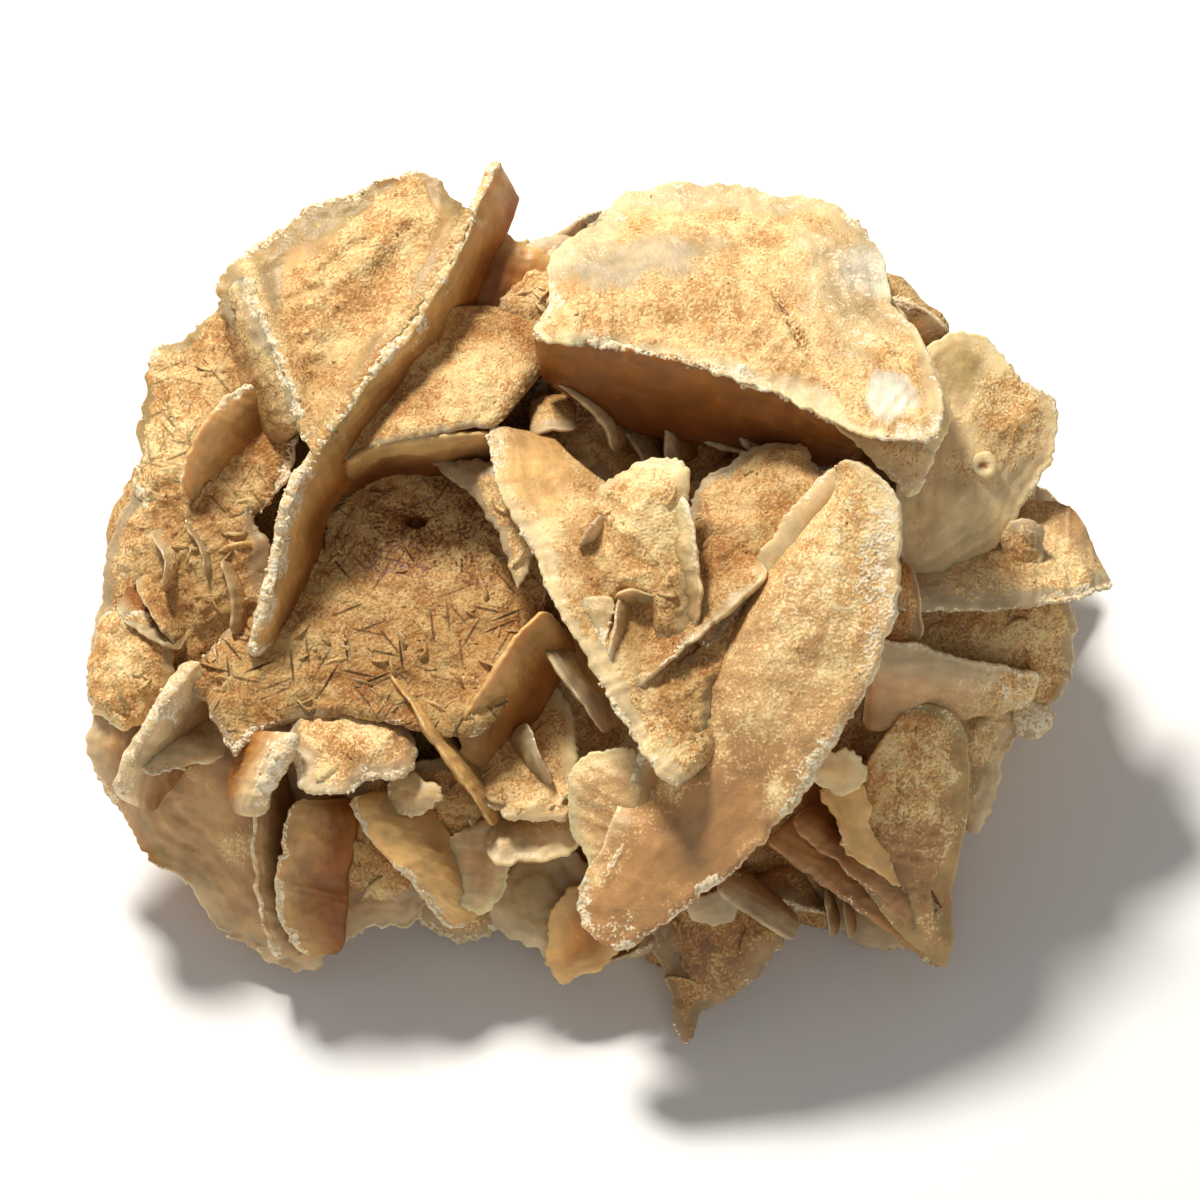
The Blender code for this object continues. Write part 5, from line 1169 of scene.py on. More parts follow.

# %% [markdown]
# ## What each blade looks like
# No two blades of the rose are alike. The table says, for each, which part of the rose it belongs to and
# how its look differs from the plain one: sand from 0 to 1 on its face and on its belly, how wide the
# clear band at its rim is, how strong and wide the white wear is, which tones the stone has, how much
# painted shade darkens it, how many small blades stand on a square millimetre of it, and where it climbs
# to a neighbour or changes in a patch. The rim tones are partly painted highlight and glow, and the
# shaded amber tone is painted shade.

# %% The looks of the discs and fins
CREST_SIDE = ("crest", 4.5, 0.3)
CREST_FOOT = ([(-14.2, 31.0, 9.0), (-20.2, 22.9, 11.0), (-25.6, 15.1, 12.5)], 3.5, 0.0)
SHIELD_FOOT = ([(3.0, -18.0, 13.0), (7.0, -8.0, 13.0), (13.0, 3.0, 13.0), (20.0, 12.0, 13.0)], 4.5, 0.0)
# Shade values and the shaded amber tone here are painted shade: undersides, roots, dents, the upper basin and faces
# turned from the light are darkened in their colour.
LOOKS = {
    "upper_left_disc": ("left", dict(
        painted_shade=0.3, sand=0.95, band=2.6, worn=0.75, width=0.5, tone="honey", rim_tone_and_glow="olive",
        climb=(CREST_SIDE, ("short_ridge", 2.5, 0.6)),
        patches=(dict(at=(-34.5, 29.0), reach=(3.0, 5.0), turn=-30, sand=0.35, tone="grey"),
                 dict(at=(-26.5, 38.6), reach=(8.0, 2.2), turn=32, sand=0.3, tone="olive")))),
    "left_upper_disc": ("left", dict(
        sprout_size=0.75, painted_shade=0.1, sand=0.95, band=0.4, worn=0.8, width=0.7, rim_tone_and_glow="olive", slits=0.7, sprouts=0.07,
        patches=(dict(at=(-44.9, 24.6), reach=(1.4, 1.2), worn=1.0),))),
    "left_flank": ("left", dict(painted_shade=0.05, sand=0.85, band=0.8, worn=0.35, width=0.5, slits=0.6, sprouts=0.09,
                                sprout_size=0.8)),
    "left_lobe": ("left", dict(sand=1.0, band=0.3, worn=0.9, width=0.6, rim_tone_and_glow="pale", sprouts=0.04)),
    "basin_floor": ("left", dict(
        painted_shade=0.85, sand=1.0, band=0.4, worn=0.6, width=0.6, slits=1.0, bite=0.9, sprouts=0.12, sprout_size=0.7,
        # Painted shade: the upper basin, in the shade of the crest and the ledge, is darkened.
        patches=(dict(at=(-17.0, 6.0), reach=(9.0, 6.0), sand=0.62, tone="amber_in_shade"),
                 dict(at=(-18.2, 7.3), reach=(0.9, 0.7), sand=0.0, sink=2.0, tone="amber_in_shade")))),
    "basin_plate": ("left", dict(painted_shade=0.3, sand=0.9, band=0.5, worn=0.3, width=0.4, tone="amber", sprouts=0.06)),
    "crest": ("left", dict(painted_shade=0.0, flutes=0.2, blade=(1.5, 3.0), blunt=0.8, sand=0.0, belly_sand=1.0, band=1.6, worn=1.0, width=1.3, tone="amber", rim_tone_and_glow="honey",
                           steps=0.1, crumbs=1.6)),
    "short_ridge": ("left", dict(blunt=0.6, sand=0.75, belly_sand=0.5, band=1.2, worn=1.05, width=0.8)),
    "left_leaf": ("left", dict(flutes=0.15, sand=0.0, belly_sand=0.2, worn=0.9, width=0.7, tone="amber", rim_tone_and_glow="honey",
                               steps=0.08)),
    "ledge_top": ("left", dict(climb=(CREST_FOOT,), painted_shade=0.25, sand=0.95, band=0.2, worn=0.5, width=0.4, sprouts=0.0)),
    "ledge_under": ("left", dict(sand=0.0, worn=0.2, width=0.4, tone="amber_in_shade", rim_tone_and_glow="honey", steps=0.08)),
    "flank_lath_middle": ("left", dict(sand=0.6, worn=0.5, width=0.4, tone="amber")),
    "flank_lath_foot": ("left", dict(sand=0.7, worn=0.5, width=0.4, tone="amber")),
    "flank_lath_right": ("left", dict(sand=0.6, worn=0.4, width=0.4, tone="amber")),
    "flank_lath_upper": ("left", dict(blade=(0.45, 1.2), sand=0.85, worn=0.5, width=0.4)),
    "flank_lath_lower": ("left", dict(blade=(0.45, 1.2), sand=0.85, worn=0.5, width=0.4)),
    "crown": ("crown", dict(
        flutes=0.6, coarse=0.8, painted_shade=0.2, sand=0.85, band=0.7, worn=0.9, width=0.9, tone="honey", rim_tone_and_glow="pale",
        patches=(dict(at=(13.0, 40.4), reach=(15.0, 2.6), sand=0.3, worn=0.45, tone="pale"),
                 dict(at=(-2.0, 35.0), reach=(4.5, 3.0), turn=40, sand=0.3, worn=0.4, tone="pale"),
                 dict(at=(4.5, 33.0), reach=(8.0, 2.6), turn=8, sand=0.15, tone="grey"),
                 dict(at=(24.5, 30.5), reach=(5.5, 7.0), turn=30, sand=0.4, worn=0.42, tone="pale"),
                 dict(at=(26.5, 32.5), reach=(3.0, 2.6), turn=30, sand=0.2, worn=0.5, tone="milk"),
                 dict(at=(28.6, 19.6), reach=(2.6, 2.2), sand=0.05, tone="milk"),
                 # Painted shade in the dented crack.
                 dict(at=(19.1, 26.2), reach=(3.8, 0.5), turn=-59, sink=0.7, sand=0.4, tone="amber_in_shade"),
                 dict(at=(7.7, 31.4), reach=(2.6, 0.4), turn=-68, sink=-0.6)))),
    "crown_shoulder": ("crown", dict(
        coarse=0.6, sand=0.75, band=0.8, worn=0.6, width=0.9, tone="pale", rim_tone_and_glow="pale", sprouts=0.06,
        patches=(dict(at=(28.6, 19.4), reach=(3.2, 3.0), sand=0.0, tone="milk"),))),
    "crown_under": ("crown", dict(flutes=0.15, painted_shade=0.5, sand=0.0, worn=1.2, width=1.0, tone="amber_in_shade", rim_tone_and_glow="amber",
                                  belly_sand=0.9, steps=0.1, crumbs=1.5)),
    "underside_seam": ("crown", dict(sand=0.0, worn=0.2, width=0.3, tone="amber_in_shade", rim_tone_and_glow="amber")),
    "behind_crest": ("crown", dict(sand=0.35, worn=0.2, width=0.5, tone="amber", rim_tone_and_glow="honey")),
    "pitted_knob": ("crown", dict(sand=1.0, band=0.1, worn=0.1, tone="brown", sprouts=0.2, sprout_size=0.6)),
    "crown_cellar": ("crown", dict(sand=0.9, tone="brown", worn=0.1, sprouts=0.15)),
    "gap_point": ("crown", dict(blade=(0.7, 2.0), sand=0.8, worn=0.3, width=0.4)),
    "gap_blade_left": ("crown", dict(sand=0.6, worn=0.4, width=0.4, tone="amber")),
    "gap_blade_right": ("crown", dict(sand=0.6, worn=0.4, width=0.4, tone="amber")),
    "cellar_left": ("crown", dict(sand=0.7, worn=0.3, width=0.3, tone="amber")),
    "cellar_middle": ("crown", dict(sand=0.5, worn=0.3, width=0.3, tone="amber")),
    "cellar_right": ("crown", dict(sand=0.6, worn=0.3, width=0.3, tone="amber")),
    "right_disc": ("right", dict(
        painted_shade=0.05, coarse=0.6, flutes=0.3, sand=0.6, band=1.2, worn=0.7, width=0.7, tone="pale", rim_tone_and_glow="pale",
        patches=(dict(at=(37.0, 6.6), reach=(5.5, 5.0), sand=0.1, tone="pale"),
                 dict(at=(40.0, 19.6), reach=(4.0, 3.6), sand=1.0),
                 dict(at=(34.5, 22.5), reach=(3.2, 3.4), sand=0.15, tone="olive")))),
    "knob": ("right", dict(
        sand=0.9, worn=0.7, width=0.5, tone="pale", rim_tone_and_glow="pale", bite=0.4,
        # Painted shade in the knob's pit.
        patches=(dict(at=(38.1, 13.3), reach=(0.55, 0.45), sink=1.6, sand=0.2, worn=0.0, tone="amber_in_shade"),))),
    "sandy_block": ("right", dict(sand=1.0, band=0.2, worn=0.3, width=0.3, sprouts=0.08, sprout_size=0.7)),
    "shaded_right_face": ("right", dict(sand=0.85, band=0.6, worn=0.4, width=0.5, tone="brown", sprouts=0.08)),
    "right_spur": ("right", dict(sand=0.7, worn=1.0, width=0.7, tone="tan", rim_tone_and_glow="grey")),
    "right_lens": ("right", dict(
        sand=0.45, worn=0.5, width=0.6, tone="tan", rim_tone_and_glow="grey",
        patches=(dict(at=(42.0, -8.0), reach=(2.6, 1.6), sand=1.0, worn=0.5),))),
    "olive_rim": ("right", dict(sand=0.5, band=1.6, worn=0.4, width=0.5, tone="olive", steps=0.3)),
    "crumbly_edge": ("right", dict(sand=0.5, worn=1.1, width=1.2, tone="pale", bite=0.9, crumbs=1.5)),
    "lower_right_blade": ("right", dict(
        bite=0.3, sand=0.45, band=1.2, worn=0.5, width=0.5, tone="brown", rim_tone_and_glow="olive", sprouts=0.02,
        patches=(dict(at=(29.5, -16.5), reach=(5.5, 7.0), sand=0.85),
                 dict(at=(31.0, -27.5), reach=(3.0, 6.0), turn=15, sand=0.3, tone="brown")))),
    "olive_blade": ("right", dict(sand=0.35, worn=0.4, width=0.4, tone="olive", rim_tone_and_glow="honey")),
    "pale_lens": ("right", dict(sand=0.2, worn=0.5, width=0.5, rim_tone_and_glow="pale")),
    "fringe_plate": ("right", dict(sand=0.1, worn=0.3, tone="olive", rim_tone_and_glow="grey", bite=1.5)),
    "stalk_left": ("right", dict(sand=0.2, worn=0.2, width=0.3, tone="brown")),
    "stalk_right": ("right", dict(sand=0.2, worn=0.2, width=0.3, tone="brown")),
    "lamina_outer": ("right", dict(blunt=0.7, sand=0.1, worn=0.55, width=0.4, tone="brown", rim_tone_and_glow="brown", steps=0.25)),
    "lamina_inner": ("right", dict(sand=0.05, worn=0.4, width=0.3, tone="amber_in_shade", rim_tone_and_glow="brown", steps=0.25)),
    "shield_neighbour": ("right", dict(blade=(0.7, 2.0), sand=0.9, worn=0.7, width=0.5)),
    "shield": ("shield", dict(
        flutes=0.25, coarse=0.5, sand=0.85, band=0.4, worn=0.9, width=0.8, tone="honey", rim_tone_and_glow="pale",
        steps=0.08, climb=(SHIELD_FOOT,), crumbs=0.7,
        patches=(dict(at=(18.0, -7.0), reach=(13.0, 8.0), turn=60, sand=0.55, tone="tan"),
                 dict(at=(23.0, 4.0), reach=(6.0, 9.0), turn=-15, worn=0.32),
                 dict(at=(9.0, -25.0), reach=(16.0, 7.0), turn=47, sand=0.3, tone="brown"),
                 dict(at=(7.0, -27.0), reach=(11.0, 4.0), turn=47, sand=0.05, tone="brown"),
                 dict(at=(28.0, 6.0), reach=(1.6, 7.0), turn=-5, worn=0.65),
                 dict(at=(27.2, -4.0), reach=(1.2, 4.0), turn=-20, worn=0.55),
                 dict(at=(2.0, -32.6), reach=(3.4, 1.6), turn=30, worn=0.45),
                 dict(at=(1.8, -25.6), reach=(0.35, 2.6), turn=-27, worn=1.0, sink=-0.2)))),
    "wing_box": ("shield", dict(
        patches=(dict(at=(3.4, -2.6), reach=(2.2, 3.0), sink=1.3, sand=0.6, tone="amber"),), sand=0.9, band=0.6, worn=0.6, width=0.5, rim_tone_and_glow="pale", sprouts=0.02, sprout_size=0.6,
        climb=((((-11.3, 17.7, 13.0), (-9.9, 10.0, 16.5), (-4.0, -1.4, 20.0)), 1.0, 0.8),))),
    "box_floor": ("shield", dict(rim_tone_and_glow="pale", bite=0.3, sand=0.6, worn=1.0, width=0.9, tone="honey", crumbs=2.5)),
    "box_left": ("shield", dict(sand=0.2, worn=1.1, width=0.6, tone="pale")),
    "box_wall": ("shield", dict(sand=0.2, worn=1.1, width=0.7, tone="honey", rim_tone_and_glow="pale")),
    "box_step": ("shield", dict(sand=0.4, worn=0.9, width=0.5, tone="honey", rim_tone_and_glow="pale")),
    "box_foot": ("shield", dict(sand=0.5, worn=0.8, width=0.5, tone="honey", rim_tone_and_glow="pale")),
    "valley_rib": ("shield", dict(sand=0.95, band=0.3, worn=0.5, width=0.5, tone="honey", rim_tone_and_glow="pale")),
    "box_right": ("shield", dict(sand=0.6, worn=0.6, width=0.5, tone="honey", rim_tone_and_glow="pale")),
    "wing_back": ("shield", dict(sprout_size=0.6, painted_shade=0.6, sand=1.0, band=0.5, worn=0.4, width=0.4, sprouts=0.03)),
    "valley_leaf": ("shield", dict(painted_shade=0.3, sand=0.95, band=0.3, worn=0.3, width=0.4, sprouts=0.06, sprout_size=0.6)),
    "wing": ("shield", dict(
        coarse=0.7, sand=0.8, band=1.0, belly_sand=0.3, worn=1.0, width=0.8, tone="honey", rim_tone_and_glow="pale", sprouts=0.0,
        patches=(dict(at=(-7.0, 12.0), reach=(2.6, 5.0), turn=20, sand=0.2, tone="honey"),))),
    "pale_petal": ("shield", dict(tone="tan", sand=0.6, band=0.8, worn=0.35, width=0.4, rim_tone_and_glow="pale")),
    "bottom_triangle": ("shield", dict(painted_shade=0.85, sand=0.7, band=0.6, worn=0.5, width=0.4, tone="brown", rim_tone_and_glow="grey",
                                       sprouts=0.03)),
    "bottom_ridge": ("shield", dict(blade=(0.8, 2.0), sand=0.4, worn=0.4, width=0.4, tone="brown")),
    "bottom_lens": ("shield", dict(sand=0.3, worn=0.3, width=0.4)),
    "grey_foot": ("shield", dict(sand=0.15, worn=0.35, width=0.4, tone="olive", rim_tone_and_glow="grey", steps=0.2)),
    "amber_foot": ("shield", dict(sand=0.25, worn=0.3, width=0.4, tone="amber", rim_tone_and_glow="honey")),
    "lower_left_disc": ("fan", dict(
        sand=0.4, band=2.4, worn=0.85, width=0.5, tone="tan", rim_tone_and_glow="grey", steps=0.2, bite=1.3,
        patches=(dict(at=(-44.2, -26.2), reach=(1.4, 1.5), tone="olive"),))),
    "strap": ("fan", dict(blunt=0.7, sand=0.1, worn=1.05, width=1.5, tone="brown", rim_tone_and_glow="pale", crumbs=1.5)),
    "strap_foot": ("fan", dict(sand=0.5, worn=1.0, width=0.7, tone="brown", rim_tone_and_glow="pale")),
    "leaf_under_basin": ("fan", dict(sand=0.7, band=0.6, worn=0.8, width=0.5, tone="amber", sprouts=0.03)),
    "pale_lobe": ("fan", dict(sand=0.3, worn=0.5, width=0.4, rim_tone_and_glow="pale")),
    "fan_floor": ("fan", dict(painted_shade=0.2, sand=0.9, worn=0.3, width=0.4, sprouts=0.09)),
    "translucent_fan": ("fan", dict(sand=0.2, worn=0.5, width=0.5, tone="tan", rim_tone_and_glow="pale", steps=0.1)),
    "round_petal": ("fan", dict(sand=0.85, band=1.2, worn=0.4, width=0.4, rim_tone_and_glow="pale", sprouts=0.05,
                                sprout_size=1.1)),
    "lower_lens": ("fan", dict(sand=0.6, band=0.6, worn=0.4, width=0.4, rim_tone_and_glow="pale")),
    "fan_edge": ("fan", dict(painted_shade=0.3, sand=0.1, worn=1.0, width=0.6, tone="brown", rim_tone_and_glow="pale", steps=0.1)),
    "spear": ("fan", dict(painted_shade=0.2, blunt=0.7, sand=0.2, worn=1.05, width=1.4, tone="amber", rim_tone_and_glow="pale")),
    "fan_middle": ("fan", dict(painted_shade=0.45, sand=0.15, worn=1.1, width=0.7, tone="amber", rim_tone_and_glow="honey", steps=0.1)),
    "fan_diagonal": ("fan", dict(sand=0.4, worn=1.0, width=0.6, rim_tone_and_glow="honey", steps=0.1)),
    "narrow_leaf": ("fan", dict(blade=(0.8, 2.0), sand=0.3, worn=0.4, width=0.3, tone="olive", rim_tone_and_glow="honey")),
    "slit_leaf": ("fan", dict(blade=(0.6, 1.4), sand=0.3, worn=0.4, width=0.3)),
    "amber_petal": ("fan", dict(painted_shade=0.15, flutes=0.2, sand=0.15, worn=0.3, width=0.4, tone="amber", rim_tone_and_glow="honey", steps=0.06)),
    "strip": ("fan", dict(blade=(0.7, 1.8), sand=0.3, worn=0.3, width=0.4)),
    "petal_lath": ("fan", dict(blade=(0.5, 1.2), sand=0.3, worn=0.4, width=0.3, tone="olive")),
}
print(len(LOOKS), "blades with a look of their own")

# %% [markdown]
# ## Growing the front
# Each disc and fin is built from its points and its look. Sizes that differ from the usual ones stand
# beside the points.

# %% The front
for name, blade in DISCS.items():
    group, look = LOOKS[name]
    disc(group, name, look=look, **blade)
for name, blade in FINS.items():
    group, look = LOOKS[name]
    fin(group, name, look=look, **blade)
for group, heap in GATHERED.items():
    print(group, "has", len(heap), "shapes,", sum(len(s["triangles"]) for s in heap), "triangles")

# %% [markdown]
# ## The matrix
# Between the blades lies what they grew from: smaller crystals cemented with sand. It shows only as
# rubble deep in the gaps, so a few rounded lumps with a broken surface are enough. The rubble is brown,
# and its darkness there is painted shade.

# %% Lumps of rubble
LUMP_DETAIL = 5
for name, (centre, radii) in LUMPS.items():
    ball = bmesh.new()
    bmesh.ops.create_icosphere(ball, subdivisions=LUMP_DETAIL + (name == "middle"), radius=1.0)
    out = np.array([v.co[:] for v in ball.verts])
    faces = np.array([[v.index for v in f.verts] for f in ball.faces])
    ball.free()
    seed = sum(map(ord, name))
    skin = np.array(centre) + out * np.array(radii)
    slabs = np.abs(rough(skin * (1.0, 0.5, 1.6), 7.0, 2, seed + 3)) * 4.0
    chips = np.abs(rough(skin, 2.6, 3, seed)) * 1.2 + 0.2 * rough(skin, 0.9, 2, seed + 7)
    skin = skin + out * (slabs + chips - 3.6)[:, None]
    # The last number is painted shade that darkens the rubble.
    gather("matrix", skin, faces, 0.95, 0.0, TONES["brown"], skin, 0.0, 0.6)

# %% [markdown]
# ## The side that the photograph hides
# A real rose goes on round the back. Rows of lenses, half buried in oval shells, stand there with their
# free edges pointing away. They are drawn at random, but from a fixed seed and in a fixed order, so that
# they always come out in the same places as in the solid.

# %% The back
BACK_STANDARD = dict(sand=0.65, belly_sand=0.6, band=1.2, worn=0.9, width=0.7, sprouts=0.03, sprout_size=1.2)
BACK_TONES = ("honey", "amber", "brown", "olive")


def reach_in_drawing(points):
    """How far out each point lies in the drawing: 1 is on the oval that the front just covers."""
    return np.hypot(points[:, 0] / FRONT_OUTLINE[0], points[:, 1] / FRONT_OUTLINE[1])


def shift_behind_front(points):
    """How far a blade moves in, whole, so that the front view doesn't show it."""
    moved = np.zeros(3)
    for _ in range(FRONT_TRIES):
        at = points + moved
        reach = reach_in_drawing(at)
        furthest = reach.argmax()
        if reach[furthest] <= 1.0:
            break
        inwards = np.array([at[furthest, 0], at[furthest, 1], 0.0])
        moved = moved + inwards * (1.0 / reach[furthest] - 1.0)
    return moved


def back_blade(name, row, around, height, chance):
    """A lens half buried in the hidden side."""
    around, height = math.radians(around), math.radians(height)
    level_out = Vector((math.cos(around), math.sin(around), 0.0))
    level = Vector((-math.sin(around), math.cos(around), 0.0))
    out = level_out * math.cos(height) + Vector((0.0, 0.0, math.sin(height)))
    twist = math.radians(chance.uniform(-BACK_TWIST, BACK_TWIST))
    side = level * math.cos(twist) + out.cross(level) * math.sin(twist)
    lean = math.radians(chance.uniform(-BACK_LEAN, BACK_LEAN))
    leaning = out * math.cos(lean) + out.cross(side) * math.sin(lean)
    centre = Vector([row["centre"][k] + row["reach"][k] * out[k] for k in range(3)])
    long = row["size"] * chance.uniform(*BACK_LENGTHS)
    short = long * chance.uniform(*BACK_WIDTHS)
    outline = []
    for i in range(BACK_SIDES):
        wander = chance.uniform(-BACK_CORNER_WANDER, BACK_CORNER_WANDER)
        turn = math.tau * (i + wander) / BACK_SIDES
        outline.append((long * math.cos(turn), short * math.sin(turn)))
    corners = np.array([centre + side * a + leaning * b for a, b in outline])
    moved = shift_behind_front(to_drawing(corners))
    belly = long * BACK_BELLY
    look = {**BACK_STANDARD, "tone": BACK_TONES[sum(map(ord, name)) % len(BACK_TONES)]}
    lens("back", name, outline, to_drawing(np.array([centre]))[0] + moved, np.array(side) @ TIP_BACK.T,
         np.array(leaning) @ TIP_BACK.T, look, dome=belly, root=belly, step=BACK_STEP, to_eye=False)


chance = random.Random(BACK_SEED)
for number, row in enumerate(BACK_ROWS):
    for i in range(row["count"]):
        around = row["start"] + (row["end"] - row["start"]) * i / (row["count"] - 1)
        around += chance.uniform(-BACK_AROUND_WANDER, BACK_AROUND_WANDER)
        height = row["height"] + chance.uniform(-BACK_HEIGHT_WANDER, BACK_HEIGHT_WANDER)
        back_blade(f"back_{number}_{i}", row, around, height, chance)
print("the back has", sum(len(s["triangles"]) for s in GATHERED["back"]), "triangles")

# %% [markdown]
# The rows leave rubble bare between them. On a real rose no such place is empty: a younger crystal stands
# wherever there was room. So smaller lenses are set on the hidden side of each lump, at random places that
# no other lump covers and that keep a distance from each other, half buried and leaning their own way.

# %% Young blades on bare rubble
YOUNG_TRIES = 300
YOUNG_APART = 6.2
YOUNG_STEP = 1.15 * BACK_STEP
YOUNG_LENGTHS = (4.5, 8.5)
YOUNG_LEAN = 40.0
YOUNG_FACING = 0.6
YOUNG_LOWEST = 4.0
YOUNG_MARGIN = 1.08


def buried(place, name):
    """Whether another lump than the named one covers the place."""
    return any(
        sum(((place[k] - centre[k]) / radii[k]) ** 2 for k in range(3)) < 1.0
        for other, (centre, radii) in LUMPS.items() if other != name)


def young_blade(name, place, out, chance):
    """A small lens half sunk in a lump at the place, with its free edge pointing out."""
    any_way = Vector((chance.gauss(0, 1), chance.gauss(0, 1), chance.gauss(0, 1)))
    side = out.cross(any_way).normalized()
    lean = math.radians(chance.uniform(-YOUNG_LEAN, YOUNG_LEAN))
    upward = out * math.cos(lean) + out.cross(side) * math.sin(lean)
    long = chance.uniform(*YOUNG_LENGTHS)
    short = long * chance.uniform(0.6, 0.9)
    outline = []
    for i in range(BACK_SIDES):
        turn = math.tau * (i + chance.uniform(-BACK_CORNER_WANDER, BACK_CORNER_WANDER)) / BACK_SIDES
        outline.append((long * math.cos(turn), short * math.sin(turn)))
    place = place - np.array(out) * (0.3 * short)
    corners = np.array([place + np.array(side * a + upward * b) for a, b in outline])
    look = {**BACK_STANDARD, "tone": chance.choice(BACK_TONES), "sprouts": 0.0}
    lens("young", name, outline, place + shift_behind_front(corners * YOUNG_MARGIN), np.array(side), np.array(upward), look,
         dome=0.12 * long, root=0.2 * long, step=YOUNG_STEP, to_eye=False)


chance = random.Random(BACK_SEED + 1)
grown = []
for name, (centre, radii) in LUMPS.items():
    for _ in range(YOUNG_TRIES):
        out = Vector((chance.gauss(0, 1), chance.gauss(0, 1), chance.gauss(0, 1))).normalized()
        place = np.array(centre) + np.array(radii) * np.array(out)
        low = to_rose(place[None])[0, 2] < YOUNG_LOWEST
        if out.z > YOUNG_FACING or low or buried(place, name):
            continue
        if all(np.linalg.norm(place - other) > YOUNG_APART for other in grown):
            young_blade(f"young_{len(grown)}", place, out, chance)
            grown.append(place)
print(len(grown), "young blades")
print("they have", sum(len(s["triangles"]) for s in GATHERED["young"]), "triangles")

# %% [markdown]
# ## Painted shade in the hollows
# Less light reaches deep into a rose, so shade is painted into its colour: the deeper a point lies, the
# darker and browner it is made. How deep a point lies is told by how crowded its surroundings are: the
# space is cut into cells of a millimetre, those that hold a surface are marked, and the marks are
# averaged over the cells around.

# %% Crowded places
CELL = 1.0
AROUND = 3
CROWDED = (0.3, 0.54)


def averaged(grid, axis):
    return sum(np.roll(grid, shift, axis) for shift in range(-AROUND, AROUND + 1)) / (2 * AROUND + 1)


def crowding():
    """Adds painted shade to every point, as much as its surroundings hold."""
    shapes = [shape for heap in GATHERED.values() for shape in heap]
    every = np.vstack([shape["place"] for shape in shapes])
    low = every.min(axis=0) - 8.0
    cells = ((every - low) / CELL).astype(int)
    grid = np.zeros(cells.max(axis=0) + 9)
    grid[tuple(cells.T)] = 1.0
    for axis in (0, 1, 2, 0, 1, 2):
        grid = averaged(grid, axis)
    crowd = grid[tuple(cells.T)]
    deep = smooth(crowd, *CROWDED)
    start = 0
    for shape in shapes:
        count = len(shape["place"])
        shape["painted_shade"] = np.clip(shape["painted_shade"] + deep[start:start + count], 0.0, 1.0)
        start += count
    return np.percentile(crowd, (5, 25, 50, 75, 95))


print("crowding, from the most open to the most hidden:", crowding().round(2))

# %% [markdown]
# ## From arrays to meshes
# Arrays go into a mesh in one call each, which is far quicker than adding points one by one. The rose
# was broken off its bed, so everything below its base is cut away and the cuts are closed.

# %% Making the pieces
PIECES = []
BOX_LOW = np.array([*CAD_BOX[0][:2], -1.0])
BOX_HIGH = np.array(CAD_BOX[1])


def make_piece(name, heap):
    """One mesh of all the shapes of a heap, with its numbers and colours on the points."""
    starts = np.cumsum([0] + [len(s["place"]) for s in heap[:-1]])
    places = np.clip(np.vstack([s["place"] for s in heap]) * MILLIMETRE, BOX_LOW, BOX_HIGH)
    triangles = np.vstack([s["triangles"] + start for s, start in zip(heap, starts)])
    mesh = bpy.data.meshes.new(name)
    mesh.vertices.add(len(places))
    mesh.vertices.foreach_set("co", places.ravel())
    mesh.loops.add(3 * len(triangles))
    mesh.loops.foreach_set("vertex_index", triangles.ravel().astype(np.int32))
    mesh.polygons.add(len(triangles))
    mesh.polygons.foreach_set("loop_start", np.arange(0, 3 * len(triangles), 3, dtype=np.int32))
    mesh.update(calc_edges=True)
    for key in NUMBERS:
        layer = mesh.attributes.new(key, "FLOAT", "POINT")
        layer.data.foreach_set("value", np.concatenate([s[key] for s in heap]).astype(np.float32))
    for key in TRIPLES:
        layer = mesh.attributes.new(key, "FLOAT_VECTOR", "POINT")
        layer.data.foreach_set("vector", np.vstack([s[key] for s in heap]).astype(np.float32).ravel())
    cut_at_base(mesh)
    mesh.polygons.foreach_set("use_smooth", np.ones(len(mesh.polygons), bool))
    mesh.update()
    piece = bpy.data.objects.new(name, mesh)
    bpy.context.scene.collection.objects.link(piece)
    PIECES.append(piece)
    print(name, "has", len(mesh.polygons), "faces")
    return piece


def cut_at_base(mesh):
    """Cuts away what is below z = 0 and closes the cuts."""
    shape = bmesh.new()
    shape.from_mesh(mesh)
    everything = list(shape.verts) + list(shape.edges) + list(shape.faces)
    bmesh.ops.bisect_plane(shape, geom=everything, dist=1e-7, plane_co=(0, 0, 0), plane_no=(0, 0, 1),
                           clear_inner=True)
    open_edges = [e for e in shape.edges if len(e.link_faces) == 1]
    filled = bmesh.ops.holes_fill(shape, edges=open_edges, sides=0)
    bmesh.ops.triangulate(shape, faces=filled["faces"])
    shape.to_mesh(mesh)
    shape.free()


for group, heap in GATHERED.items():
    make_piece("rose_" + group, heap)

# %% [markdown]
# ## Writing a shader as sums
# A finish is a graph of nodes, but most of it is arithmetic: a mask is noise plus a number, sharpened. One
# small class wraps an output so that +, -, * and / add the Math nodes. Anything else, such as a noise
# texture, comes from one method that takes the node's type, its settings and what goes into its sockets.

# %% Wires and finishes


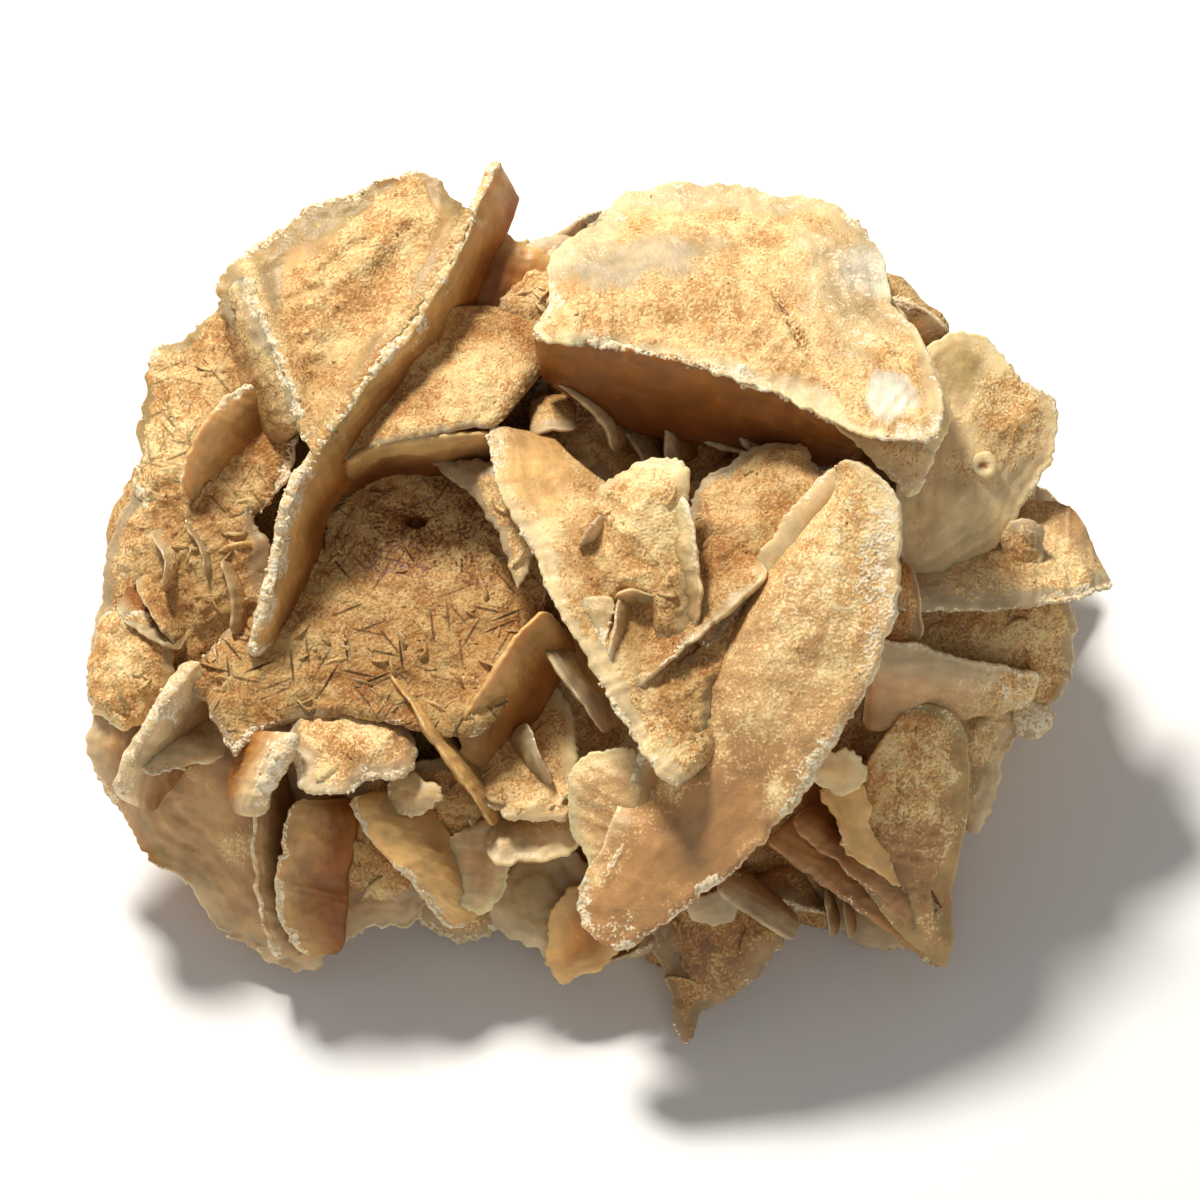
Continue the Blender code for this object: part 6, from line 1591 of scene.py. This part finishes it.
class Wire:
    """One value in a shader. Arithmetic on it adds Math nodes."""

    def __init__(self, finish, socket):
        self.finish = finish
        self.socket = socket

    def maths(self, operation, first, second):
        return self.finish.node("ShaderNodeMath", {"operation": operation}, {0: first, 1: second})

    def __add__(self, other):
        return self.maths("ADD", self, other)

    def __radd__(self, other):
        return self.maths("ADD", other, self)

    def __sub__(self, other):
        return self.maths("SUBTRACT", self, other)

    def __rsub__(self, other):
        return self.maths("SUBTRACT", other, self)

    def __mul__(self, other):
        return self.maths("MULTIPLY", self, other)

    def __rmul__(self, other):
        return self.maths("MULTIPLY", other, self)

    def __truediv__(self, other):
        return self.maths("DIVIDE", self, other)

    def output(self, name):
        """Another output of the node that this value comes from."""
        return Wire(self.finish, self.socket.node.outputs[name])

    def above(self, limit):
        return self.maths("GREATER_THAN", self, limit)

    def at_least(self, other):
        return self.maths("MAXIMUM", self, other)

    def eased(self, low, high):
        """0 below low, 1 above high and a smooth slope between them."""
        return self.finish.node("ShaderNodeMapRange", {"interpolation_type": "SMOOTHSTEP"},
                                {"Value": self, "From Min": low, "From Max": high})


class Finish:
    """A material that is put together node by node."""

    def __init__(self, name):
        self.material = bpy.data.materials.new(name)
        self.material.use_nodes = True
        self.tree = self.material.node_tree
        self.tree.nodes.clear()

    def node(self, kind, settings=None, values=None, output=0):
        """Adds a node: first its settings, then the numbers or wires of its sockets."""
        made = self.tree.nodes.new(kind)
        for key, value in (settings or {}).items():
            setattr(made, key, value)
        for key, value in (values or {}).items():
            if isinstance(value, Wire):
                self.tree.links.new(value.socket, made.inputs[key])
            else:
                made.inputs[key].default_value = value
        return None if output is None else Wire(self, made.outputs[output])

    def number(self, name):
        return self.node("ShaderNodeAttribute", {"attribute_name": name}, output="Fac")

    def triple(self, name):
        return self.node("ShaderNodeAttribute", {"attribute_name": name}, output="Vector")

    def grain(self, place, size, detail=3.0, roughness=0.55):
        """Noise from 0 to 1 with bumps about size millimetres wide."""
        return self.node("ShaderNodeTexNoise", None, {"Vector": place, "Scale": 1.0 / size, "Detail": detail,
                                                       "Roughness": roughness})

    def blend(self, share, first, second):
        """Mixes two colours."""
        return self.node("ShaderNodeMix", {"data_type": "RGBA"}, {0: share, 6: first, 7: second}, output=2)

    def stretched(self, vector, scale):
        return self.node("ShaderNodeVectorMath", {"operation": "MULTIPLY"}, {0: vector, 1: scale})

    def brighter(self, colour, factor):
        return self.node("ShaderNodeVectorMath", {"operation": "SCALE"}, {0: colour, "Scale": factor})


def colour(red, green, blue):
    return (*linear(red, green, blue), 1.0)


# %% [markdown]
# ## Places in the shader
# A texture needs a place in millimetres. The object's own coordinates are in metres, so they are scaled up
# first. For the needle slits they are also turned upright like the drawing, so that the slits lie flat in
# the sandy floors.

# %% Places
PER_METRE = 1000.0


def millimetres(finish):
    place = finish.node("ShaderNodeTexCoord", output="Object")
    return finish.stretched(place, (PER_METRE, PER_METRE, PER_METRE))


def drawing_place(finish, place):
    """The place as it is in the drawing, tipped upright again."""
    return finish.node("ShaderNodeVectorRotate", {"rotation_type": "X_AXIS"},
                       {"Vector": place, "Angle": VIEW_ELEVATION - math.pi / 2.0})


# %% [markdown]
# ## Sand crust
# The crust is desert sand held by gypsum: golden grains of about 0.3 mm, lighter and darker ones mixed.
# A cell texture gives each grain its own shade, and two noises gather grains into lighter and browner
# patches, as on the real faces.

# %% The colours of the sand
SAND_LIGHT = colour(253, 228, 168)
SAND_MIDDLE = colour(230, 180, 112)
SAND_BROWN = colour(182, 122, 62)
GRAIN_SIZE = 0.22


def sand_colour(finish, place, mottle, patches):
    uneven = finish.node("ShaderNodeVectorMath", {"operation": "ADD"}, {
        0: finish.stretched(place, (1.0 / GRAIN_SIZE,) * 3), 1: mottle * 4.0})
    cells = finish.node("ShaderNodeVectorMath", {"operation": "FLOOR"}, {0: uneven})
    shade = finish.node("ShaderNodeTexWhiteNoise", None, {"Vector": cells})
    light = (mottle * 0.8 + shade * 0.35 + patches * 1.0 - 0.6).eased(0.2, 0.8)
    brown = (mottle * 0.7 - shade * 0.4 + 0.84 - patches * 0.9).eased(0.42, 0.85)
    colours = finish.blend(light, SAND_MIDDLE, SAND_LIGHT)
    return finish.blend(brown * 0.8, colours, SAND_BROWN)


# %% [markdown]
# ## Needle slits
# In the sandy floors thin blades of gypsum ended, and their ends leave narrow slits about 3 mm long that
# lie in all directions. Their darkness is painted shade: the shade in the narrow gaps is painted as dark
# strokes, and the bump sinks them. A cell texture stretched along one direction draws short parallel
# strokes. Five of them at five angles, each keeping only some of its cells, cross like the real ones.

# %% Slits
SLIT_ANGLES = (12.0, 50.0, 83.0, 121.0, 158.0)
SLIT_CELL = (11.0, 0.9, 1.0)
SLIT_KEPT = 0.62


def slit_marks(finish, place):
    flat = drawing_place(finish, place)
    marks = None
    for number, angle in enumerate(SLIT_ANGLES):
        turned = finish.node("ShaderNodeVectorRotate", {"rotation_type": "Z_AXIS"},
                             {"Vector": flat, "Angle": math.radians(angle)})
        cells = finish.stretched(turned, (1.0 / SLIT_CELL[0], 1.0 / SLIT_CELL[1], 0.0))
        cells = finish.node("ShaderNodeVectorMath", {"operation": "ADD"}, {0: cells, 1: (7.3 * number, 0.0, 0.0)})
        near = finish.node("ShaderNodeTexVoronoi", {"voronoi_dimensions": "2D"}, {"Vector": cells, "Scale": 1.0},
                           output="Distance")
        lot = finish.node("ShaderNodeSeparateColor", None, {0: near.output("Color")}, output=0)
        stroke = (1.0 - near.eased(0.08, 0.2)) * lot.above(SLIT_KEPT) * (lot.output("Green") * 0.9 + 0.15)
        marks = stroke if marks is None else marks.at_least(stroke)
    return marks


# %% [markdown]
# ## One finish for the whole rose
# Two shaders are mixed. The first is clear gypsum: smooth, slightly glossy, and lit from within, because
# light enters, scatters and comes out again. The second is rough and holds both the sand crust and the
# bruised white rims. The numbers kept on the points say where each shows, and noise breaks their edges.
# Painted shade, kept on the points too, darkens and browns both colours.

# %% The gypsum finish
WHITE = colour(244, 230, 198)
CREAM = colour(222, 192, 142)
# The colour of the painted shade in the needle slits.
SLIT_SHADE_COLOUR = colour(78, 46, 18)
# The tint that painted shade multiplies colours by.
PAINTED_SHADE_TINT = (0.46, 0.34, 0.2)


def gypsum(name, with_slits):
    finish = Finish(name)
    place = millimetres(finish)
    fine = finish.grain(place, 0.3, 0.0)
    middle = finish.grain(place, 1.2, 2.0, 0.6)
    clouds = finish.grain(place, 4.0, 2.0)
    sand = (finish.number("sand") + (middle - 0.5) * 0.7 + (fine - 0.5) * 0.8 + (clouds - 0.5) * 0.5).eased(0.3, 0.72)
    worn = (finish.number("worn") + (middle - 0.5) * 1.1 + (fine - 0.5) * 0.7).eased(0.46, 0.74)
    growth = finish.stretched(finish.triple("growth"), (0.35, 1.5, 1.0))
    streaks = finish.grain(growth, 1.0, 1.0)
    painted_shade = finish.number("painted_shade")
    stone = finish.brighter(finish.triple("stone"), streaks * 0.3 + clouds * 1.0 + middle * 0.3 + 0.2)
    bruise = finish.blend((middle * 0.6 + fine * 0.4).eased(0.4, 0.62), CREAM, WHITE)
    crust = sand_colour(finish, place, middle, clouds)
    height = fine * (finish.number("sand") + finish.number("worn") + 0.25) + streaks * 0.15
    if with_slits:
        # Painted shade: the slits are drawn as dark strokes for the shade in their narrow gaps.
        slits = slit_marks(finish, place) * finish.number("slits")
        crust = finish.blend(slits * 0.9, crust, SLIT_SHADE_COLOUR)
        height = height - slits * 1.5
    # Painted shade: crust and stone are darkened and browned as far as the points' shade number says.
    crust = finish.blend(painted_shade * 0.8, crust, finish.stretched(crust, PAINTED_SHADE_TINT))
    stone = finish.blend(painted_shade * 0.8, stone, finish.stretched(stone, PAINTED_SHADE_TINT))
    normal = finish.node("ShaderNodeBump", None, {"Strength": 0.5, "Distance": 0.0002, "Height": height})
    clear = finish.node("ShaderNodeBsdfPrincipled", None, {
        "Base Color": stone, "Roughness": 0.42 + fine * 0.18, "Normal": normal, "IOR": 1.52,
        "Subsurface Weight": 0.5, "Subsurface Radius": (1.0, 0.55, 0.22), "Subsurface Scale": 0.0015})
    coarse = finish.node("ShaderNodeBsdfPrincipled", None, {
        "Base Color": finish.blend(worn, crust, bruise), "Roughness": 0.9, "Normal": normal})
    mixed = finish.node("ShaderNodeMixShader", None, {0: sand.at_least(worn), 1: clear, 2: coarse})
    finish.node("ShaderNodeOutputMaterial", None, {"Surface": mixed}, output=None)
    return finish.material


# %% [markdown]
# ## Handing the pieces over
# Each piece rides on the rose's one body and stands for its plain solid, and all take the same finish.

# %% Pieces and frame
PLAIN_GYPSUM = gypsum("sandy_gypsum_fine", False)
SLIT_GYPSUM = gypsum("sandy_gypsum_with_slits", True)
for piece in PIECES:
    piece.data.materials.append(SLIT_GYPSUM if piece.name == "rose_left" else PLAIN_GYPSUM)
    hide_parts("sand_rose")
    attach(piece, "root")
print(len(PIECES), "pieces carry the finish")

# %% [markdown]
# ## Floor, light and camera
# A pale floor, one large soft light above and behind at the left, as the shadows of the photograph say,
# and a weaker one in front. The camera looks down at the rose at the viewing angle through a long lens,
# so that the picture is nearly as flat as the drawing.

# %% The studio
FLOOR_SIZE = 3.0
FRAME_WIDTH = 0.12
LENS = 500.0
SENSOR = 36.0


def add_floor():
    mesh = bpy.data.meshes.new("floor")
    half = FLOOR_SIZE / 2.0
    mesh.from_pydata([(-half, -half, 0), (half, -half, 0), (half, half, 0), (-half, half, 0)], [], [(0, 1, 2, 3)])
    floor = bpy.data.objects.new("floor", mesh)
    bpy.context.scene.collection.objects.link(floor)
    finish = Finish("pale_floor")
    surface = finish.node("ShaderNodeBsdfPrincipled", None, {"Base Color": colour(244, 243, 240), "Roughness": 0.9})
    finish.node("ShaderNodeOutputMaterial", None, {"Surface": surface}, output=None)
    mesh.materials.append(finish.material)


def add_light(name, place, size, watts, tint):
    """A square soft light that looks at the middle of the rose."""
    data = bpy.data.lights.new(name, "AREA")
    data.shape = "DISK"
    data.size = size
    data.energy = watts
    data.color = tint
    light = bpy.data.objects.new(name, data)
    bpy.context.scene.collection.objects.link(light)
    light.location = place
    aim = Vector((0.0, 0.0, 0.025)) - Vector(place)
    light.rotation_euler = aim.to_track_quat("-Z", "Y").to_euler()


def add_camera():
    data = bpy.data.cameras.new("camera")
    data.lens = LENS
    data.sensor_width = SENSOR
    camera = bpy.data.objects.new("camera", data)
    bpy.context.scene.collection.objects.link(camera)
    aim = Vector(to_rose(np.zeros((1, 3)))[0] * MILLIMETRE)
    towards_eye = Vector((0.0, -LEVEL, UP))
    camera.location = aim + towards_eye * (FRAME_WIDTH * LENS / SENSOR)
    camera.rotation_euler = towards_eye.to_track_quat("Z", "Y").to_euler()
    bpy.context.scene.camera = camera


def add_sky(tint, strength):
    world = bpy.data.worlds.new("studio")
    world.use_nodes = True
    background = world.node_tree.nodes["Background"]
    background.inputs["Color"].default_value = tint
    background.inputs["Strength"].default_value = strength
    bpy.context.scene.world = world


add_floor()
add_light("key", (-0.2, 0.3, 0.62), 0.13, 6.3, (1.0, 0.97, 0.92))
add_light("front", (0.1, -0.7, 0.55), 0.5, 1.1, (1.0, 0.98, 0.95))
add_sky((1.0, 1.0, 1.0, 1.0), 0.21)
add_camera()
bpy.context.scene.view_settings.view_transform = "Standard"
